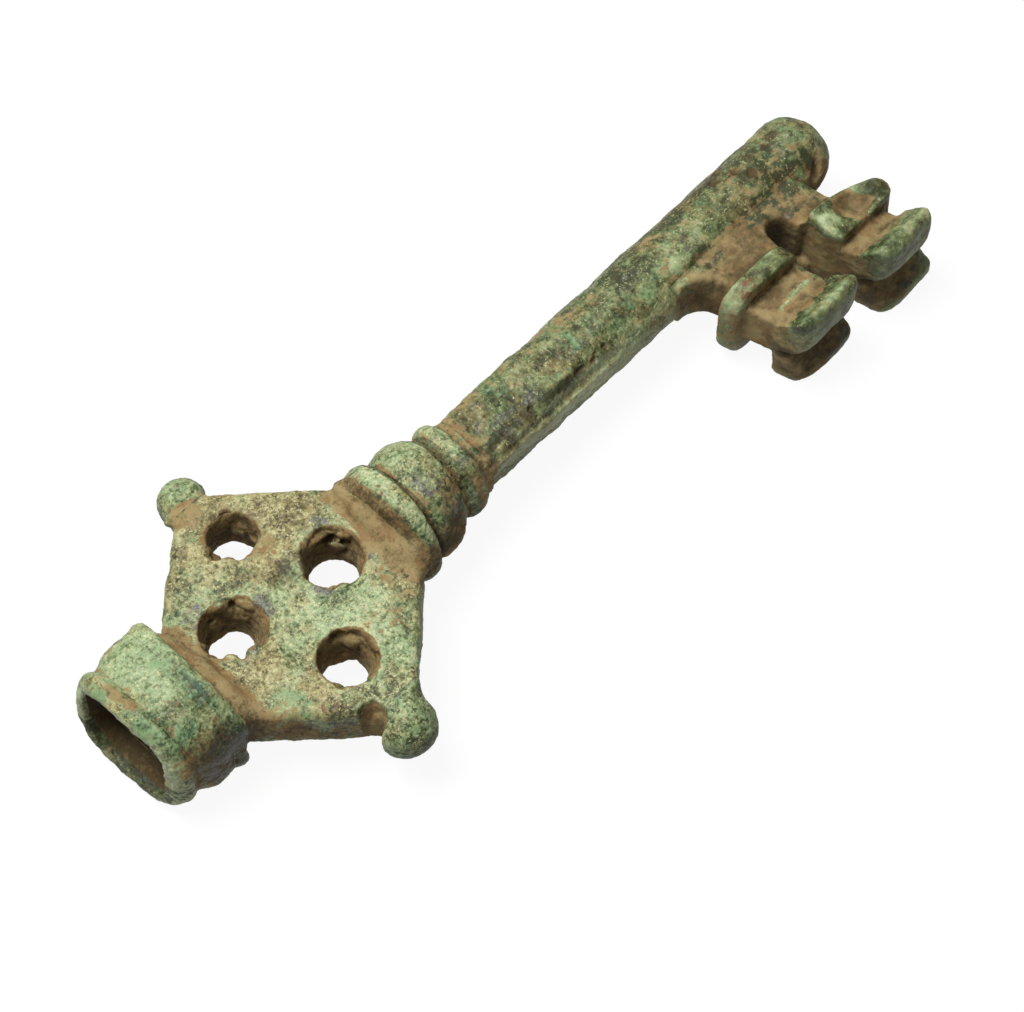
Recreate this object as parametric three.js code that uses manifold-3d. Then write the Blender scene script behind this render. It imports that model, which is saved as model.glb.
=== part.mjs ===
// Ancient bronze key: a hollow socket, a pierced lozenge plate with two side knobs, a collared knop,
// a shank that turns from a chamfered bar into a rod, and a bit with two forked ward blocks.
// Millimetres. X runs from the socket mouth to the tip, Z points up and the bit reaches towards -Y.
// All parts are drawn about the shank axis, and the whole key is set down on Z = 0 at the end.

import * as THREE from 'three';
import { mergeVertices } from 'three/addons/utils/BufferGeometryUtils.js';
import Module from 'manifold-3d';

const wasm = await Module();
wasm.setup();

// Lengths of the parts along the axis
const MOUTH_BAND_LENGTH = 2.9;
const DRUM_LENGTH = 5.0;
const REAR_BEAD_LENGTH = 2.0;
const PLATE_LENGTH = 26.7;
const LOWER_COLLAR_LENGTH = 3.7;
const KNOP_LENGTH = 6.3;
const UPPER_COLLAR_LENGTH = 3.6;
const SHANK_LENGTH = 52.6;
const TIP_LENGTH = 7.4;

// Where each part begins
const DRUM_X = MOUTH_BAND_LENGTH;
const BEAD_X = DRUM_X + DRUM_LENGTH;
const PLATE_X = BEAD_X + REAR_BEAD_LENGTH;
const LOWER_COLLAR_X = PLATE_X + PLATE_LENGTH;
const KNOP_X = LOWER_COLLAR_X + LOWER_COLLAR_LENGTH;
const UPPER_COLLAR_X = KNOP_X + KNOP_LENGTH;
const SHANK_X = UPPER_COLLAR_X + UPPER_COLLAR_LENGTH;
const TIP_X = SHANK_X + SHANK_LENGTH;

// The key lies on its socket, its lower collar and its lower ward lips, all this far under the axis
const REST_DEPTH = 7.5;

// Left free between surfaces of two parts that would otherwise rub
const GAP = 0.3;

// Socket, with its corner radii in the order +Y +Z, -Y +Z, -Y -Z, +Y -Z
const SOCKET_WIDTH = 16.6;
const MOUTH_WIDTH = 15.2;
const MOUTH_HEIGHT = 13.4;
const MOUTH_CORNERS = [4.2, 6.2, 4.2, 6.4];
const REAR_CORNERS = [3.0, 6.2, 2.4, 6.0];
const SIDE_WALL = 1.75;
const FACE_WALL = 1.25;
const HOLLOW_CORNERS = [2.6, 3.4, 2.6, 4.8];
const HOLLOW_SHIFT = 0.45;
const MOUTH_SIDE_SHIFT = 1.4;
const REAR_SIDE_SHIFT = 0.95;
const MOUTH_SKEW = 0.05;
const MOUTH_TILT = 0.11;
const RIM_ROUNDING = 0.6;
const BAND_SWELL = 0.4;
const DRUM_SWELL = 0.35;
const SOCKET_GROOVE = 0.25;

// Plate: a lozenge whose corners lie inside the socket, inside the collar and at the two knobs
const PLATE_THICKNESS = 6.5;
const PLATE_EDGE_ROUND = 1.1;
const LEFT_CORNER_X = PLATE_X + 14.1;
const LEFT_CORNER_Y = 18.3;
const RIGHT_CORNER_X = PLATE_X + 13.3;
const RIGHT_CORNER_Y = -19.1;
const BACK_CORNER_X = PLATE_X - 7.4;
const BACK_CORNER_Y = 0.3;
const FRONT_CORNER_X = LOWER_COLLAR_X + 7.75;
const FRONT_CORNER_Y = -0.5;
const HOLE_FLARE = 0.8;

// Knobs: each takes the place of the lozenge's corner from its seat outwards
const LEFT_SEAT_Y = LEFT_CORNER_Y - 2.1;
const RIGHT_SEAT_Y = RIGHT_CORNER_Y + 2.9;
const LEFT_KNOB_X = LEFT_CORNER_X + 0.55;
const RIGHT_KNOB_X = RIGHT_CORNER_X - 0.9;
const LEFT_KNOB_RADIUS = 2.9;
const RIGHT_KNOB_RADIUS = 3.45;
const LEFT_KNOB_LENGTH = 5.1;
const RIGHT_KNOB_LENGTH = 5.55;
const NECK_LENGTH = 1.9;
const NOTCH_RADIUS = 1.5;
const NOTCH_DEPTH = 0.95;
const NOTCH_SETBACK = 0.2;
const NOTCH_SLANT = 12;

// Holes: middle and radius at the upper face, radius at the lower face, and how far the hole drifts
// on its way down
const LEFT_HOLE = {
  x: LEFT_CORNER_X + 0.6, y: LEFT_SEAT_Y - 6.1, top: 2.75, bottom: 2.4, driftX: -0.2, driftY: 0.3,
};
const FRONT_HOLE = {
  x: LOWER_COLLAR_X - 6.4, y: FRONT_CORNER_Y + 0.9, top: 3.5, bottom: 2.85, driftX: -0.1, driftY: 0,
};
const BACK_HOLE = {
  x: PLATE_X + 6.95, y: BACK_CORNER_Y + 1.55, top: 3.65, bottom: 2.6, driftX: -0.5, driftY: 0.5,
};
const RIGHT_HOLE = {
  x: RIGHT_CORNER_X - 0.3, y: RIGHT_SEAT_Y + 6.8, top: 3.25, bottom: 2.5, driftX: -0.4, driftY: 0.5,
};

// Knop and collars
const KNOP_RADIUS = 6.9;
const UPPER_COLLAR_RADIUS = 5.85;
const COLLAR_CREST = 0.64;
const COLLAR_REAR_DROP = 1.7;
const GROOVE_DEPTH = 0.85;
const COLLAR_LEAN = 0.07;
const COLLAR_SIDE_SHIFT = -0.2;
const FOOT_RING_LENGTH = 1.0;
const FOOT_RING_DROP = 0.9;

// Shank and tip
const SHANK_WIDTH = 8.3;
const SHANK_HEIGHT = 8.9;
const SHANK_CHAMFER = 1.2;
const SHANK_TURN = 12;
const SQUARE_LENGTH = 4;
const SHANK_END_RADIUS = 4.85;
const TIP_RADIUS = 5.1;
const FOLD_RADIUS = 0.9;
const FOLD_DEPTH = 0.55;
const FOLD_SLANT = 35;
const FOLD_TURN = 26;
const FOLD_ALONG = 2.6;

// Bit: the root web stands on the shank, the cleft parts it, and a ward block hangs on either side
const BIT_LENGTH = 21.3;
const WEB_THICKNESS = 7.2;
const WEB_SEAT_Y = -3.2;
const ROOT_DEPTH = 2.4;
const CLEFT_DEPTH = 3.0;
const CLEFT_WIDTH = 2.9;
const CLEFT_OPENING = 3.1;
const WARD_SETBACK = 2.7;
const FLANGE_TOP = 5.3;
const FLANGE_BOTTOM = -6.9;
const FLANGE_CORNER = 3.2;
const LOWER_LIP = 1.8;
const GROOVE_TOP = -0.7;
const GROOVE_APEX = -1.5;
const LIP_ROUND = 0.9;
const FORK_END_ROUND = 2.2;
const FORK_END_DRAW = 0.75;
const LOWER_LIP_SETBACK = 0.6;
const POCKET_RADIUS = 2.2;
const POCKET_DEPTH = 1.6;
const FLANGE_SLOPE = 14;
const LOBE_RADIUS = 1.7;
const LOBE_END_ANGLE = 1.3;
const FAR_CORNER_SETBACK = 1.1;
const ROOT_LEDGE = 1.2;
const NEAR_ROOT_FLARE = 4.4;
const FAR_ROOT_FLARE = 1.4;
const EDGE_ROUND = 0.7;

// How far a blank reaches past the plane that trims it
const TRIM = 1;

const NEAR_WARD = {
  length: 10.0, lean: 0.22, lobe: 0.9, flangeThickness: 2.6, channel: 3.9, forkDepth: 4.0,
  webThickness: 5.8, farInset: 0.6, ridge: 2.7, lipTop: 5.1, lipSetback: 0.2, lowerReach: 0.2,
};
const FAR_WARD = {
  length: 10.2, lean: 0.28, lobe: 0.3, flangeThickness: 5.0, channel: 1.9, forkDepth: 3.9,
  webThickness: 5.8, farInset: 2.1, ridge: 2.3, lipTop: 5.0, lipSetback: 1.0, lowerReach: 0.8,
};

// Where the bit's parts lie
const WEB_START_X = TIP_X - BIT_LENGTH;
const CLEFT_FLOOR_Y = WEB_SEAT_Y - ROOT_DEPTH;
const FLANGE_SEAT_Y = CLEFT_FLOOR_Y - CLEFT_DEPTH;
const NEAR_START_X = WEB_START_X + WARD_SETBACK;
const FAR_START_X = NEAR_START_X + NEAR_WARD.length + CLEFT_OPENING;

// Colours of the bronze skin
const PALE_GREEN = 0x8fa286;
const MID_GREEN = 0x748a6c;
const DARK_GREEN = 0x56664e;
const SOIL_BROWN = 0x8a7050;

function bronze(name, geometry, colour, roughness, metalness) {
  const material = new THREE.MeshStandardMaterial({ color: colour, roughness, metalness });
  geometry.computeVertexNormals();
  const mesh = new THREE.Mesh(geometry, material);
  mesh.name = name;
  return mesh;
}

// A closed loop of points around a rectangle whose corners are cut back, all by one amount or each
// by its own. With round = 0 the corners are chamfers, with round = 1 they are arcs.
function sectionLoop(halfWidth, halfHeight, corners, round = 1, steps = 7) {
  const points = [];
  for (let quarter = 0; quarter < 4; quarter += 1) {
    const corner = Array.isArray(corners) ? corners[quarter] : corners;
    const sideways = quarter === 0 || quarter === 3 ? 1 : -1;
    const upward = quarter < 2 ? 1 : -1;
    const middle = new THREE.Vector2(sideways * (halfWidth - corner), upward * (halfHeight - corner));
    const from = new THREE.Vector2(0, 1).rotateAround(new THREE.Vector2(), (quarter - 1) * Math.PI / 2);
    const to = from.clone().rotateAround(new THREE.Vector2(), Math.PI / 2);
    for (let step = 0; step <= steps; step += 1) {
      const share = step / steps;
      const arc = from.clone().rotateAround(new THREE.Vector2(), share * Math.PI / 2);
      const chord = from.clone().lerp(to, share);
      points.push(chord.lerp(arc, round).multiplyScalar(corner).add(middle));
    }
  }
  return points;
}

// Joins rings of equal point count into one closed body. A solid gets a flat face at both ends,
// a tube joins its last ring back to its first.
function skin(rings, tube = false) {
  const count = rings[0].length;
  const positions = rings.flat().flatMap((point) => [point.x, point.y, point.z]);
  const index = [];
  const spans = tube ? rings.length : rings.length - 1;
  for (let ring = 0; ring < spans; ring += 1) {
    const here = ring * count;
    const next = ((ring + 1) % rings.length) * count;
    for (let i = 0; i < count; i += 1) {
      const j = (i + 1) % count;
      index.push(here + i, here + j, next + j, here + i, next + j, next + i);
    }
  }
  if (!tube) {
    const last = (rings.length - 1) * count;
    for (const [a, b, c] of THREE.ShapeUtils.triangulateShape(flatLoop(rings[0]), [])) {
      index.push(a, c, b, last + a, last + b, last + c);
    }
  }
  const geometry = new THREE.BufferGeometry();
  geometry.setAttribute('position', new THREE.Float32BufferAttribute(positions, 3));
  geometry.setIndex(index);
  return facingOut(geometry);
}

// A ring's points seen along Y if the ring is square to Y, or else along X
function flatLoop(ring) {
  const squareToY = ring.every((point) => Math.abs(point.y - ring[0].y) < 1e-6);
  return ring.map((point) => new THREE.Vector2(squareToY ? point.x : point.y, point.z));
}

// Turns every triangle over when the enclosed volume comes out negative
function facingOut(geometry) {
  const position = geometry.getAttribute('position');
  const index = geometry.getIndex();
  const corner = (i) => new THREE.Vector3().fromBufferAttribute(position, index.getX(i));
  let volume = 0;
  for (let i = 0; i < index.count; i += 3) {
    volume += corner(i).dot(corner(i + 1).cross(corner(i + 2)));
  }
  if (volume < 0) {
    for (let i = 0; i < index.count; i += 3) {
      const second = index.getX(i + 1);
      index.setX(i + 1, index.getX(i + 2));
      index.setX(i + 2, second);
    }
  }
  return geometry;
}

// Lays a loop of section points in the plane square to the axis at x
const acrossX = (x, loop) => loop.map((point) => new THREE.Vector3(x, point.x, point.y));

// Lays a loop of section points in the plane square to Y at y, centred on middleX
const acrossY = (y, middleX, loop) => loop.map((p) => new THREE.Vector3(middleX + p.x, y, p.y));

function toManifold(geometry) {
  const bare = geometry.clone();
  bare.deleteAttribute('normal');
  bare.deleteAttribute('uv');
  const merged = mergeVertices(bare);
  return new wasm.Manifold(new wasm.Mesh({
    numProp: 3,
    vertProperties: new Float32Array(merged.getAttribute('position').array),
    triVerts: new Uint32Array(merged.getIndex().array),
  }));
}

function cut(geometry, cutters) {
  let solid = toManifold(geometry);
  for (const cutter of cutters) solid = solid.subtract(toManifold(cutter));
  const mesh = solid.getMesh();
  const result = new THREE.BufferGeometry();
  result.setAttribute('position', new THREE.BufferAttribute(new Float32Array(mesh.vertProperties), 3));
  result.setIndex(new THREE.BufferAttribute(new Uint32Array(mesh.triVerts), 1));
  return result;
}

// A box given by its least and greatest corners, used to trim parts to flat seats
function block(minX, minY, minZ, maxX, maxY, maxZ) {
  const box = new THREE.BoxGeometry(maxX - minX, maxY - minY, maxZ - minZ);
  return box.translate((minX + maxX) / 2, (minY + maxY) / 2, (minZ + maxZ) / 2);
}

// A body of revolution about the key's axis from [x, radius] pairs
function turned(profile, segments = 44) {
  const start = new THREE.Vector2(0, profile[0][0]);
  const end = new THREE.Vector2(0, profile[profile.length - 1][0]);
  const points = [start, ...profile.map(([x, radius]) => new THREE.Vector2(radius, x)), end];
  return new THREE.LatheGeometry(points, segments).rotateZ(-Math.PI / 2);
}

// Profile of a ring: an arch that rises from one radius to its crest and falls to another
function arch(fromX, crestX, toX, fromRadius, crestRadius, toRadius, steps = 12) {
  const profile = [];
  for (let step = 0; step <= steps; step += 1) {
    const angle = (step / steps) * Math.PI;
    const foot = angle < Math.PI / 2 ? [fromX, fromRadius] : [toX, toRadius];
    const away = Math.abs(Math.cos(angle));
    profile.push([
      THREE.MathUtils.lerp(crestX, foot[0], away),
      THREE.MathUtils.lerp(foot[1], crestRadius, Math.sin(angle)),
    ]);
  }
  return profile;
}

// Turns the seams out of square: a part's two ends lean by shares of COLLAR_LEAN
function leaningEnds(geometry, fromX, toX, fromLean, toLean) {
  const position = geometry.getAttribute('position');
  for (let i = 0; i < position.count; i += 1) {
    const share = (position.getX(i) - fromX) / (toX - fromX);
    const lean = COLLAR_LEAN * THREE.MathUtils.lerp(fromLean, toLean, share);
    position.setX(i, position.getX(i) + lean * position.getY(i));
  }
  return geometry;
}

// Socket sections drift sideways towards the mouth, where the key was pressed out of line
const socketShift = (x) => THREE.MathUtils.lerp(MOUTH_SIDE_SHIFT, REAR_SIDE_SHIFT, x / PLATE_X);

// The mouth is worn out of square by up to MOUTH_SKEW sideways and MOUTH_TILT upwards
function socketRing(x, halfWidth, halfHeight, corners, shift, wear = 0) {
  return sectionLoop(halfWidth, halfHeight, corners).map((point) => {
    const y = point.x + shift;
    const slant = MOUTH_TILT * point.y - MOUTH_SKEW * (y - MOUTH_SIDE_SHIFT);
    return new THREE.Vector3(x + wear * slant, y, point.y);
  });
}

// The socket's outside at station x, swollen or sunk by swell
function socketOuterRing(x, swell, wear = 0) {
  const share = x / PLATE_X;
  const halfWidth = THREE.MathUtils.lerp(MOUTH_WIDTH, SOCKET_WIDTH, share) / 2 + swell;
  const halfHeight = THREE.MathUtils.lerp(MOUTH_HEIGHT, 2 * REST_DEPTH, share) / 2 + swell;
  const corners = MOUTH_CORNERS.map((corner, i) => {
    return THREE.MathUtils.lerp(corner, REAR_CORNERS[i], share) + swell;
  });
  return socketRing(x, halfWidth, halfHeight, corners, socketShift(x), wear);
}

function socketInnerRing(x, wear = 0) {
  const halfWidth = MOUTH_WIDTH / 2 - SIDE_WALL;
  const halfHeight = MOUTH_HEIGHT / 2 - FACE_WALL;
  return socketRing(x, halfWidth, halfHeight, HOLLOW_CORNERS, socketShift(x) + HOLLOW_SHIFT, wear);
}

// An outside ring with one swell on the upper face and another on the sides and underneath
function gradedRing(x, upperSwell, lowerSwell) {
  const lower = socketOuterRing(x, lowerSwell);
  return socketOuterRing(x, upperSwell).map((point, i) => {
    const share = THREE.MathUtils.smoothstep(point.z / REST_DEPTH, -0.3, 0.7);
    return lower[i].lerp(point, share);
  });
}

function socketMouthBand() {
  const rings = [
    socketOuterRing(0, -RIM_ROUNDING, 1),
    socketOuterRing(MOUTH_BAND_LENGTH * 0.12, -RIM_ROUNDING / 4, 0.9),
    socketOuterRing(MOUTH_BAND_LENGTH * 0.33, BAND_SWELL / 2, 0.7),
    socketOuterRing(MOUTH_BAND_LENGTH * 0.6, BAND_SWELL, 0.4),
    socketOuterRing(MOUTH_BAND_LENGTH * 0.82, BAND_SWELL / 4, 0.15),
    socketOuterRing(DRUM_X, -SOCKET_GROOVE),
    socketInnerRing(DRUM_X),
    socketInnerRing(0, 1),
  ];
  return bronze('socket_mouth_band', skin(rings, true), MID_GREEN, 0.72, 0.35);
}

// The drum bulges all round; on the upper face it runs on level into the rear bead
function socketDrum() {
  const rings = [];
  const steps = 8;
  for (let step = 0; step <= steps; step += 1) {
    const share = step / steps;
    const bulge = Math.sin(share * Math.PI) * (DRUM_SWELL + SOCKET_GROOVE) - SOCKET_GROOVE;
    const level = THREE.MathUtils.lerp(bulge, 0, THREE.MathUtils.smoothstep(share, 0.5, 1));
    rings.push(gradedRing(DRUM_X + share * DRUM_LENGTH, Math.max(bulge, level), bulge));
  }
  rings.push(socketInnerRing(BEAD_X), socketInnerRing(DRUM_X));
  return bronze('socket_drum', skin(rings, true), PALE_GREEN, 0.8, 0.25);
}

// The bead closes the hollow and carries the plate
function socketRearBead() {
  const rings = [];
  const steps = 6;
  for (let step = 0; step <= steps; step += 1) {
    const share = step / steps;
    const sunk = 2 * SOCKET_GROOVE * (1 - Math.sin(share * Math.PI));
    const x = BEAD_X + share * REAR_BEAD_LENGTH;
    const full = REST_DEPTH - THREE.MathUtils.lerp(MOUTH_HEIGHT / 2, REST_DEPTH, x / PLATE_X);
    rings.push(gradedRing(x, share < 0.5 ? 0 : full - sunk, full - sunk));
  }
  return bronze('socket_rear_bead', skin(rings), MID_GREEN, 0.78, 0.3);
}

// A hole's cutter: a round taper that narrows downwards and flares out at both faces
function holeCutter(hole) {
  const half = PLATE_THICKNESS / 2;
  const profile = [
    new THREE.Vector2(0, -half - HOLE_FLARE),
    new THREE.Vector2(hole.bottom + HOLE_FLARE, -half - HOLE_FLARE),
    new THREE.Vector2(hole.bottom, -half + HOLE_FLARE / 2),
    new THREE.Vector2(hole.top, half - HOLE_FLARE / 2),
    new THREE.Vector2(hole.top + HOLE_FLARE, half + HOLE_FLARE),
    new THREE.Vector2(0, half + HOLE_FLARE),
  ];
  const drift = new THREE.Matrix4().set(
    1, 0, -hole.driftX / PLATE_THICKNESS, hole.x + hole.driftX / 2,
    0, 1, -hole.driftY / PLATE_THICKNESS, hole.y + hole.driftY / 2,
    0, 0, 1, 0,
    0, 0, 0, 1,
  );
  return new THREE.LatheGeometry(profile, 36).rotateX(Math.PI / 2).applyMatrix4(drift);
}

const backCorner = new THREE.Vector2(BACK_CORNER_X, BACK_CORNER_Y);
const frontCorner = new THREE.Vector2(FRONT_CORNER_X, FRONT_CORNER_Y);
const leftCorner = new THREE.Vector2(LEFT_CORNER_X, LEFT_CORNER_Y);
const rightCorner = new THREE.Vector2(RIGHT_CORNER_X, RIGHT_CORNER_Y);

// The point at y on the lozenge's side between two corners
const onSide = (y, from, to) => from.clone().lerp(to, (y - from.y) / (to.y - from.y));

// The notch that parts the right knob from the plate's rear side, deeper above than below
function neckNotch() {
  const side = new THREE.Vector2().subVectors(rightCorner, backCorner).normalize();
  const middle = onSide(RIGHT_SEAT_Y + NOTCH_SETBACK, rightCorner, backCorner);
  middle.add(new THREE.Vector2(side.y, -side.x).multiplyScalar(NOTCH_RADIUS - NOTCH_DEPTH));
  const slant = THREE.MathUtils.degToRad(NOTCH_SLANT);
  const notch = new THREE.CylinderGeometry(NOTCH_RADIUS, NOTCH_RADIUS, 2 * PLATE_THICKNESS, 24);
  notch.rotateX(Math.PI / 2);
  notch.applyMatrix4(new THREE.Matrix4().makeRotationAxis(new THREE.Vector3(side.x, side.y, 0), -slant));
  return notch.translate(middle.x, middle.y, 0);
}

function bowPlate() {
  const outline = new THREE.Shape([leftCorner, backCorner, rightCorner, frontCorner]);
  const plate = new THREE.ExtrudeGeometry(outline, {
    depth: PLATE_THICKNESS - 2 * PLATE_EDGE_ROUND,
    bevelThickness: PLATE_EDGE_ROUND,
    bevelSize: PLATE_EDGE_ROUND,
    bevelOffset: -PLATE_EDGE_ROUND,
    bevelSegments: 4,
  }).translate(0, 0, PLATE_EDGE_ROUND - PLATE_THICKNESS / 2);
  const reach = FRONT_CORNER_X;
  const trimmed = cut(plate, [
    block(-reach, -reach, -reach, PLATE_X, reach, reach),
    block(LOWER_COLLAR_X, -reach, -reach, 2 * reach, reach, reach),
    block(-reach, LEFT_SEAT_Y, -reach, 2 * reach, reach, reach),
    block(-reach, -reach, -reach, 2 * reach, RIGHT_SEAT_Y, reach),
    neckNotch(),
    ...[LEFT_HOLE, FRONT_HOLE, BACK_HOLE, RIGHT_HOLE].map(holeCutter),
  ]);
  return bronze('bow_plate', trimmed, PALE_GREEN, 0.82, 0.22);
}

// A knob starts with the plate's own section at its seat and swells into a ball
function sideKnob(corner, seatY, ballX, ballRadius, length) {
  const back = onSide(seatY, corner, backCorner);
  const front = onSide(seatY, corner, frontCorner);
  const ballMiddle = length - ballRadius;
  const startAngle = -Math.asin(ballMiddle / ballRadius);
  const endAngle = Math.PI / 2 * 0.96;
  const rings = [];
  const steps = 13;
  for (let step = 0; step <= steps; step += 1) {
    const angle = THREE.MathUtils.lerp(startAngle, endAngle, step / steps);
    const out = ballMiddle + ballRadius * Math.sin(angle);
    const ball = ballRadius * Math.cos(angle);
    const share = THREE.MathUtils.smoothstep(out, 0, NECK_LENGTH);
    const halfWidth = THREE.MathUtils.lerp((front.x - back.x) / 2, ball, share);
    const halfHeight = THREE.MathUtils.lerp(PLATE_THICKNESS / 2, ball, share);
    const round = THREE.MathUtils.lerp(PLATE_EDGE_ROUND, ball, share);
    const middleX = THREE.MathUtils.lerp((front.x + back.x) / 2, ballX, share);
    const loop = sectionLoop(halfWidth, halfHeight, Math.min(round, halfWidth, halfHeight));
    rings.push(acrossY(seatY + Math.sign(corner.y) * out, middleX, loop));
  }
  return skin(rings);
}

function leftKnob() {
  const knob = sideKnob(leftCorner, LEFT_SEAT_Y, LEFT_KNOB_X, LEFT_KNOB_RADIUS, LEFT_KNOB_LENGTH);
  return bronze('left_knob', knob, DARK_GREEN, 0.75, 0.35);
}

function rightKnob() {
  const knob = sideKnob(rightCorner, RIGHT_SEAT_Y, RIGHT_KNOB_X, RIGHT_KNOB_RADIUS, RIGHT_KNOB_LENGTH);
  return bronze('right_knob', cut(knob, [neckNotch()]), DARK_GREEN, 0.75, 0.35);
}

// The lower collar rises slowly from the plate to its crest and drops steeply to the knop
function lowerCollar() {
  const crestX = LOWER_COLLAR_X + LOWER_COLLAR_LENGTH * COLLAR_CREST;
  const rear = REST_DEPTH - COLLAR_REAR_DROP;
  const profile = arch(LOWER_COLLAR_X, crestX, KNOP_X, rear, REST_DEPTH, REST_DEPTH - GROOVE_DEPTH);
  const collar = leaningEnds(turned(profile), LOWER_COLLAR_X, KNOP_X, 0, 1);
  return bronze('lower_collar', collar.translate(0, COLLAR_SIDE_SHIFT, 0), MID_GREEN, 0.75, 0.3);
}

function knop() {
  const profile = [[KNOP_X, KNOP_RADIUS - GROOVE_DEPTH]];
  const widest = KNOP_X + KNOP_LENGTH * 0.38;
  const steps = 14;
  for (let step = 0; step <= steps; step += 1) {
    const x = THREE.MathUtils.lerp(KNOP_X + GAP, UPPER_COLLAR_X, step / steps);
    const away = (x - widest) / (KNOP_LENGTH * 0.84);
    profile.push([x, KNOP_RADIUS * Math.sqrt(1 - away ** 2)]);
  }
  const ball = leaningEnds(turned(profile), KNOP_X, UPPER_COLLAR_X, 1, 2);
  return bronze('knop', ball.translate(0, COLLAR_SIDE_SHIFT, 0), PALE_GREEN, 0.6, 0.45);
}

// The upper collar is a broad ring and a low one at its foot, where the shank begins
function upperCollar() {
  const footX = SHANK_X - FOOT_RING_LENGTH;
  const floor = UPPER_COLLAR_RADIUS - GROOVE_DEPTH;
  const footRadius = UPPER_COLLAR_RADIUS - FOOT_RING_DROP;
  const broadCrestX = (UPPER_COLLAR_X + footX) / 2;
  const broad = arch(UPPER_COLLAR_X, broadCrestX, footX, floor, UPPER_COLLAR_RADIUS, floor);
  const low = arch(footX, (footX + SHANK_X) / 2, SHANK_X, floor, footRadius, floor, 6);
  const collar = leaningEnds(turned([...broad, ...low.slice(1)]), UPPER_COLLAR_X, SHANK_X, 2, 0);
  return bronze('upper_collar', collar.translate(0, COLLAR_SIDE_SHIFT, 0), MID_GREEN, 0.78, 0.3);
}

// The shank is a chamfered bar at the bow and a round rod at the bit
function shankRing(x) {
  const share = THREE.MathUtils.smoothstep(x, SHANK_X + SQUARE_LENGTH, WEB_START_X);
  const halfWidth = THREE.MathUtils.lerp(SHANK_WIDTH / 2, SHANK_END_RADIUS, share);
  const halfHeight = THREE.MathUtils.lerp(SHANK_HEIGHT / 2, SHANK_END_RADIUS, share);
  const corner = THREE.MathUtils.lerp(SHANK_CHAMFER, SHANK_END_RADIUS, share);
  const turn = THREE.MathUtils.degToRad(SHANK_TURN) * (1 - share);
  const centre = new THREE.Vector2();
  const loop = sectionLoop(halfWidth, halfHeight, corner, share);
  return acrossX(x, loop.map((point) => point.rotateAround(centre, turn)));
}

function shank() {
  const rings = [];
  const steps = 22;
  for (let step = 0; step <= steps; step += 1) {
    rings.push(shankRing(THREE.MathUtils.lerp(SHANK_X, TIP_X, step / steps)));
  }
  const reach = 2 * TIP_X;
  const seat = block(WEB_START_X, -reach, -reach, reach, WEB_SEAT_Y, reach);
  return bronze('shank', cut(skin(rings), [seat]), PALE_GREEN, 0.7, 0.35);
}

// The fold in the domed end: a slanting groove on the side towards the bit
function tipFold() {
  const fold = new THREE.CylinderGeometry(FOLD_RADIUS, FOLD_RADIUS, 4 * TIP_RADIUS, 20);
  fold.rotateX(Math.PI / 2).rotateY(THREE.MathUtils.degToRad(FOLD_SLANT));
  fold.translate(0, FOLD_DEPTH - TIP_RADIUS - FOLD_RADIUS, 0);
  return fold.rotateX(-THREE.MathUtils.degToRad(FOLD_TURN)).translate(TIP_X + FOLD_ALONG, 0, 0);
}

function shankTip() {
  const shoulder = TIP_LENGTH * 0.42;
  const profile = [[TIP_X, SHANK_END_RADIUS - GAP / 2], [TIP_X + 2 * GAP, TIP_RADIUS - GAP / 3]];
  const steps = 14;
  for (let step = 0; step < steps; step += 1) {
    const angle = (step / steps) * Math.PI / 2;
    const x = TIP_X + shoulder + (TIP_LENGTH - shoulder) * Math.sin(angle);
    profile.push([x, TIP_RADIUS * Math.cos(angle) ** 0.8]);
  }
  profile.push([TIP_X + TIP_LENGTH, 0]);
  return bronze('shank_tip', cut(turned(profile), [tipFold()]), MID_GREEN, 0.75, 0.3);
}

// The root web stands on the shank's flat and carries both ward blocks, parted by the cleft
function bitWeb() {
  const end = TIP_X - GAP;
  const cleftNear = NEAR_START_X + NEAR_WARD.length - GAP;
  const cleftMiddle = NEAR_START_X + NEAR_WARD.length + CLEFT_WIDTH / 2;
  const cleftFar = FAR_START_X + FAR_CORNER_SETBACK / 2;
  const over = WEB_SEAT_Y + WEB_THICKNESS / 2;
  const under = FLANGE_SEAT_Y - TRIM;
  const ledge = WEB_SEAT_Y - ROOT_LEDGE;
  const outline = new THREE.Shape();
  outline.moveTo(WEB_START_X, over);
  outline.lineTo(WEB_START_X, ledge);
  outline.quadraticCurveTo(WEB_START_X + NEAR_ROOT_FLARE, ledge, WEB_START_X + NEAR_ROOT_FLARE, under);
  outline.lineTo(cleftNear, under);
  outline.absarc(cleftMiddle, CLEFT_FLOOR_Y - CLEFT_WIDTH / 2, CLEFT_WIDTH / 2, Math.PI, 0, true);
  outline.lineTo(cleftFar, under);
  outline.lineTo(end + FAR_ROOT_FLARE, under);
  outline.quadraticCurveTo(end, CLEFT_FLOOR_Y, end, WEB_SEAT_Y + TRIM);
  outline.lineTo(end, over);
  outline.closePath();
  const web = new THREE.ExtrudeGeometry(outline, {
    depth: WEB_THICKNESS - 2 * EDGE_ROUND,
    bevelThickness: EDGE_ROUND,
    bevelSize: EDGE_ROUND,
    bevelOffset: -EDGE_ROUND,
    bevelSegments: 3,
    curveSegments: 8,
  }).translate(0, 0, EDGE_ROUND - WEB_THICKNESS / 2);
  const reach = 2 * TIP_X;
  const trimmed = cut(web, [
    block(-reach, WEB_SEAT_Y, -reach, reach, reach, reach),
    block(-reach, -reach, -reach, reach, FLANGE_SEAT_Y, reach),
  ]);
  return bronze('bit_web', trimmed, SOIL_BROWN, 0.92, 0.1);
}

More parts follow.
